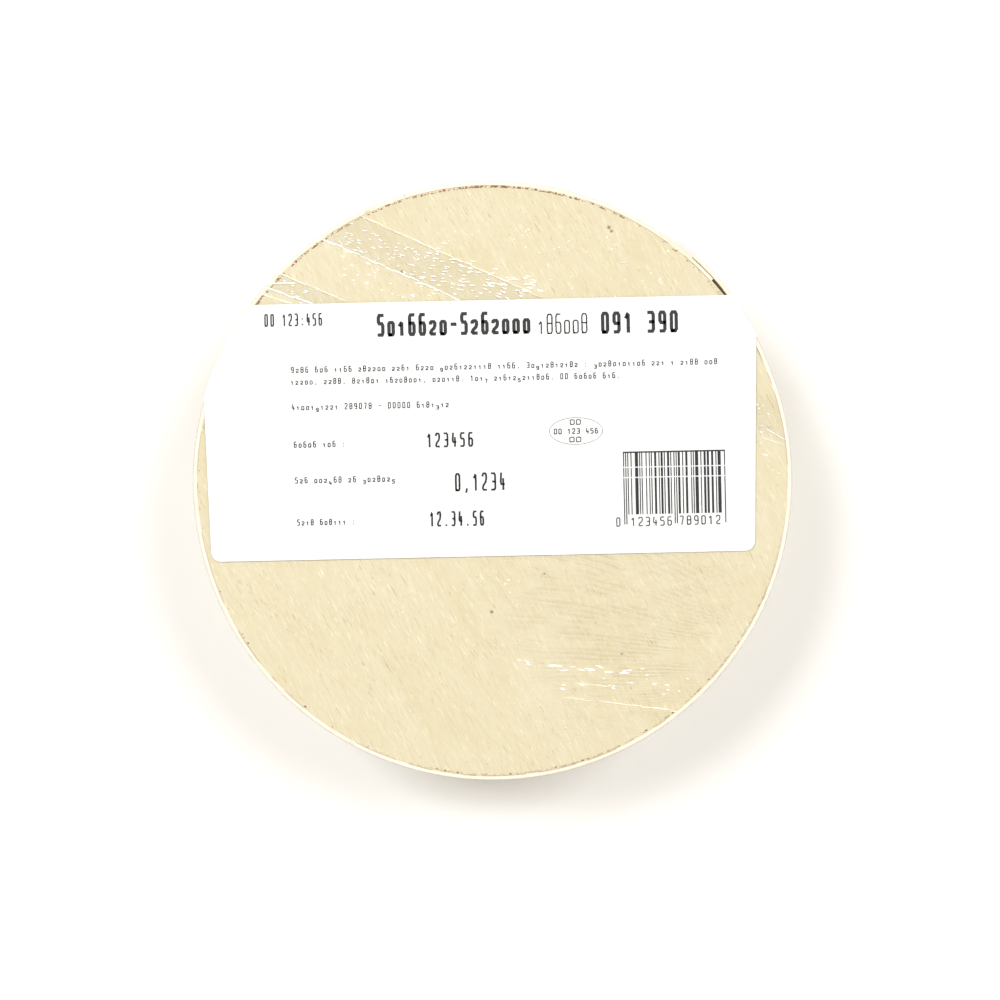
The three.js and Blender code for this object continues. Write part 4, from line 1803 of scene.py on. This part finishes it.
PRINT_ROWS = (
    PrintRow("00 123:456", -50.5, 24.9, 13.6, 3.0, 0.34),
    PrintRow("Nxxddxx-Nxdxxxx", -24.1, 22.0, 36.1, 5.4, 0.8, 0.74),
    PrintRow("xddxxd", 13.8, 21.8, 11.6, 4.8, 0.32, 0.7),
    PrintRow("NNN NNN", 28.6, 21.6, 18.1, 5.2, 0.8, 0.72),
    PrintRow(
        "Nxdd dxd xxdd xdxxxx xxdx dxxx pxxdxxxxxxd xxdd. Nxpxxdxxxdx : pxxdxxxxxxd xxx x xxdd xxd",
        -44.5, 13.9, 100.2, 1.45, 0.21,
    ),
    PrintRow(
        "xxxxx, xxdd, dxxdxx xdxxdxxx, xxxxxd. Nxxp xxdxxpxxxdxd. 00 dxdxd dxd.",
        -44.6, 11.1, 77.4, 1.45, 0.21,
    ),
    PrintRow("Nxxxxpxxxx NNNNNN - 00000 Nxdxpxx", -44.5, 5.1, 36.9, 1.5, 0.21),
    PrintRow("Nxdxd xxd :", -44.2, -3.7, 12.1, 1.5, 0.22),
    PrintRow("123456", -12.9, -4.3, 10.9, 3.5, 0.44),
    PrintRow("Nxd xxxpdd xd pxxdxxp", -44.1, -12.1, 23.5, 1.5, 0.22),
    PrintRow("0,1234", -6.5, -14.7, 11.8, 4.3, 0.46),
    PrintRow("Nxxd dxdxxx :", -43.8, -22.0, 13.6, 1.5, 0.22),
    PrintRow("12.34.56", -12.6, -22.9, 12.8, 3.6, 0.44),
    PrintRow("00 123 456", 17.0, -1.8, 10.4, 1.35, 0.22, 0.72),
    PrintRow("00", 20.8, 0.35, 2.6, 1.3, 0.22, 0.78),
    PrintRow("00", 20.6, -3.75, 2.8, 1.3, 0.22, 0.78),
    PrintRow("0", 31.2, -23.8, 1.0, 2.2, 0.26),
    PrintRow("123456", 34.7, -23.8, 9.6, 2.2, 0.26),
    PrintRow("789012", 46.1, -23.7, 9.6, 2.2, 0.26),
)


# --------------------------------------------------------------------------------- cheese inside


@dataclass
class Inside:
    """The wheel and the paper that it is wrapped in."""

    edge: float = 9.0
    crown: float = 0.6
    sink: float = 0.02
    paper_gap: float = 0.2
    paper: float = 0.06
    steps: int = 160
    pleats: int = 46
    paper_finish: Finish = field(default_factory=WrappingPaper)
    rind_finish: Finish = field(default_factory=BloomyRind)

    def build(self) -> None:
        """Builds the wheel and its paper."""
        bm = bmesh.new()
        spin_round(bm, chain(bm, self._line(-self.sink)), self.steps)
        move_each(bm, self._bloomy)
        new_piece("bloomy_wheel", bm, self.rind_finish, ["cheese_wheel"])
        bm = bmesh.new()
        spin_round(bm, chain(bm, self._line(self.paper_gap)), self.steps * 2)
        move_each(bm, self._wrapped)
        thicken(bm, self.paper)
        new_piece("waxed_wrapping", bm, self.paper_finish, ["cheese_paper"], 60.0)

    def _line(self, grow: float) -> list[Vector]:
        """Draws the wheel's section from the axis on top to the axis underneath.

        Args:
            grow: how far outside the wheel's own surface it runs.

        Returns:
            The section's points.
        """
        low, high = node_box("cheese_wheel")
        radius, corner = high.x + grow, self.edge + grow
        top, bottom, hub = high.z + grow, low.z - grow, high.x - self.edge
        flat = [hub * step / 14 for step in range(15)]
        points = [Vector((reach, 0, top - self.crown * (reach / hub) ** 2)) for reach in flat]
        turns = [math.radians(step) for step in range(10, 91, 10)]
        shoulder = top - self.crown - corner
        points += [
            Vector((hub + corner * math.sin(turn), 0, shoulder + corner * math.cos(turn))) for turn in turns
        ]
        drop = (shoulder - bottom - corner) / 10
        points += [Vector((radius, 0, shoulder - drop * row)) for row in range(1, 10)]
        points += [
            Vector((hub + corner * math.cos(turn), 0, bottom + corner - corner * math.sin(turn)))
            for turn in [0.0, *turns]
        ]
        return points + [Vector((reach, 0, bottom)) for reach in reversed(flat[:-1])]

    @staticmethod
    def _bloomy(point: Vector) -> Vector:
        """Sinks the rind here and there, as a soft cheese settles."""
        middle = Vector((0, 0, (SIZES.lid_top + SIZES.base_bottom) / 2))
        sunk = 0.16 + 0.16 * noise.noise(point * 0.09) + 0.05 * noise.noise(point * 0.5)
        return point - (point - middle).normalized() * sunk

    def _wrapped(self, point: Vector) -> Vector:
        """Pleats the paper underneath and creases it round the side."""
        out = plan(point)
        angle = angle_of(point)
        crease = 0.05 * noise.noise(Vector((math.radians(angle) * 9, point.z * 0.12, 3.0)))
        point += out.normalized() * crease if out.length > 1 else Vector()
        if point.z < SIZES.base_bottom + 3.2:
            wave = (angle + out.length * 0.35) * self.pleats / 360
            point.z -= 0.10 * abs(2 * (wave % 1.0) - 1) * min(1.0, out.length / 20)
        return point


# --------------------------------------------------------------------------------------- studio


@dataclass
class Studio:
    """The floor, the lights and the camera."""

    view_width: float = 235.15
    lens: float = 70.0
    sensor: float = 36.0
    aim: Place = (1.76, -4.56)
    floor_half: float = 40.0
    ambient: float = 0.33
    sky: Colour = (1.0, 0.96, 0.90, 1.0)
    keys: tuple[tuple[float, float, float, float, float], ...] = (
        (-0.48, 0.34, 1.25, 0.34, 8.7),
        (0.48, 0.32, 1.25, 0.34, 6.7),
        (0.0, -0.62, 1.15, 0.50, 2.2),
    )

    def build(self) -> None:
        """Sets the stage."""
        self._floor()
        self._lights()
        self._camera()
        bpy.context.scene.view_settings.view_transform = "Standard"

    def _floor(self) -> None:
        """Lays the floor at the height that the box stands on."""
        bm = bmesh.new()
        bmesh.ops.create_grid(bm, x_segments=1, y_segments=1, size=self.floor_half)
        mesh = bpy.data.meshes.new("floor")
        bm.to_mesh(mesh)
        bm.free()
        floor = bpy.data.objects.new("floor", mesh)
        floor.location.z = CAD_BOUNDS[0][2]
        floor.data.materials.append(StudioWhite().material())
        bpy.context.scene.collection.objects.link(floor)

    def _lights(self) -> None:
        """Hangs the broad soft lights and lights the room evenly."""
        world = bpy.data.worlds.new("studio")
        world.use_nodes = True
        sky = world.node_tree.nodes["Background"]
        sky.inputs["Color"].default_value = self.sky
        sky.inputs["Strength"].default_value = self.ambient
        bpy.context.scene.world = world
        for number, (x, y, z, size, power) in enumerate(self.keys, 1):
            lamp = bpy.data.lights.new(f"key_{number}", "AREA")
            lamp.size = size
            lamp.energy = power
            holder = bpy.data.objects.new(f"key_{number}", lamp)
            holder.location = (x, y, z)
            holder.rotation_euler = (-Vector((x, y, z))).to_track_quat("-Z", "Y").to_euler()
            bpy.context.scene.collection.objects.link(holder)

    def _camera(self) -> None:
        """Looks straight down on the lid."""
        eye = bpy.data.cameras.new("camera")
        eye.lens = self.lens
        eye.sensor_width = self.sensor
        distance = self.view_width * self.lens / self.sensor
        holder = bpy.data.objects.new("camera", eye)
        holder.location = (self.aim[0] * MM, self.aim[1] * MM, (SIZES.film_top + distance) * MM)
        bpy.context.scene.collection.objects.link(holder)
        bpy.context.scene.camera = holder


def main() -> None:
    """Builds every part in order."""
    logging.basicConfig(level=logging.INFO, format="%(name)s %(message)s")
    Studio().build()
    WoodenBox().build()
    Inside().build()
    FilmWrap().build()
    Label().build()
    LabelPrint().build()


if __name__ == "__main__":
    main()
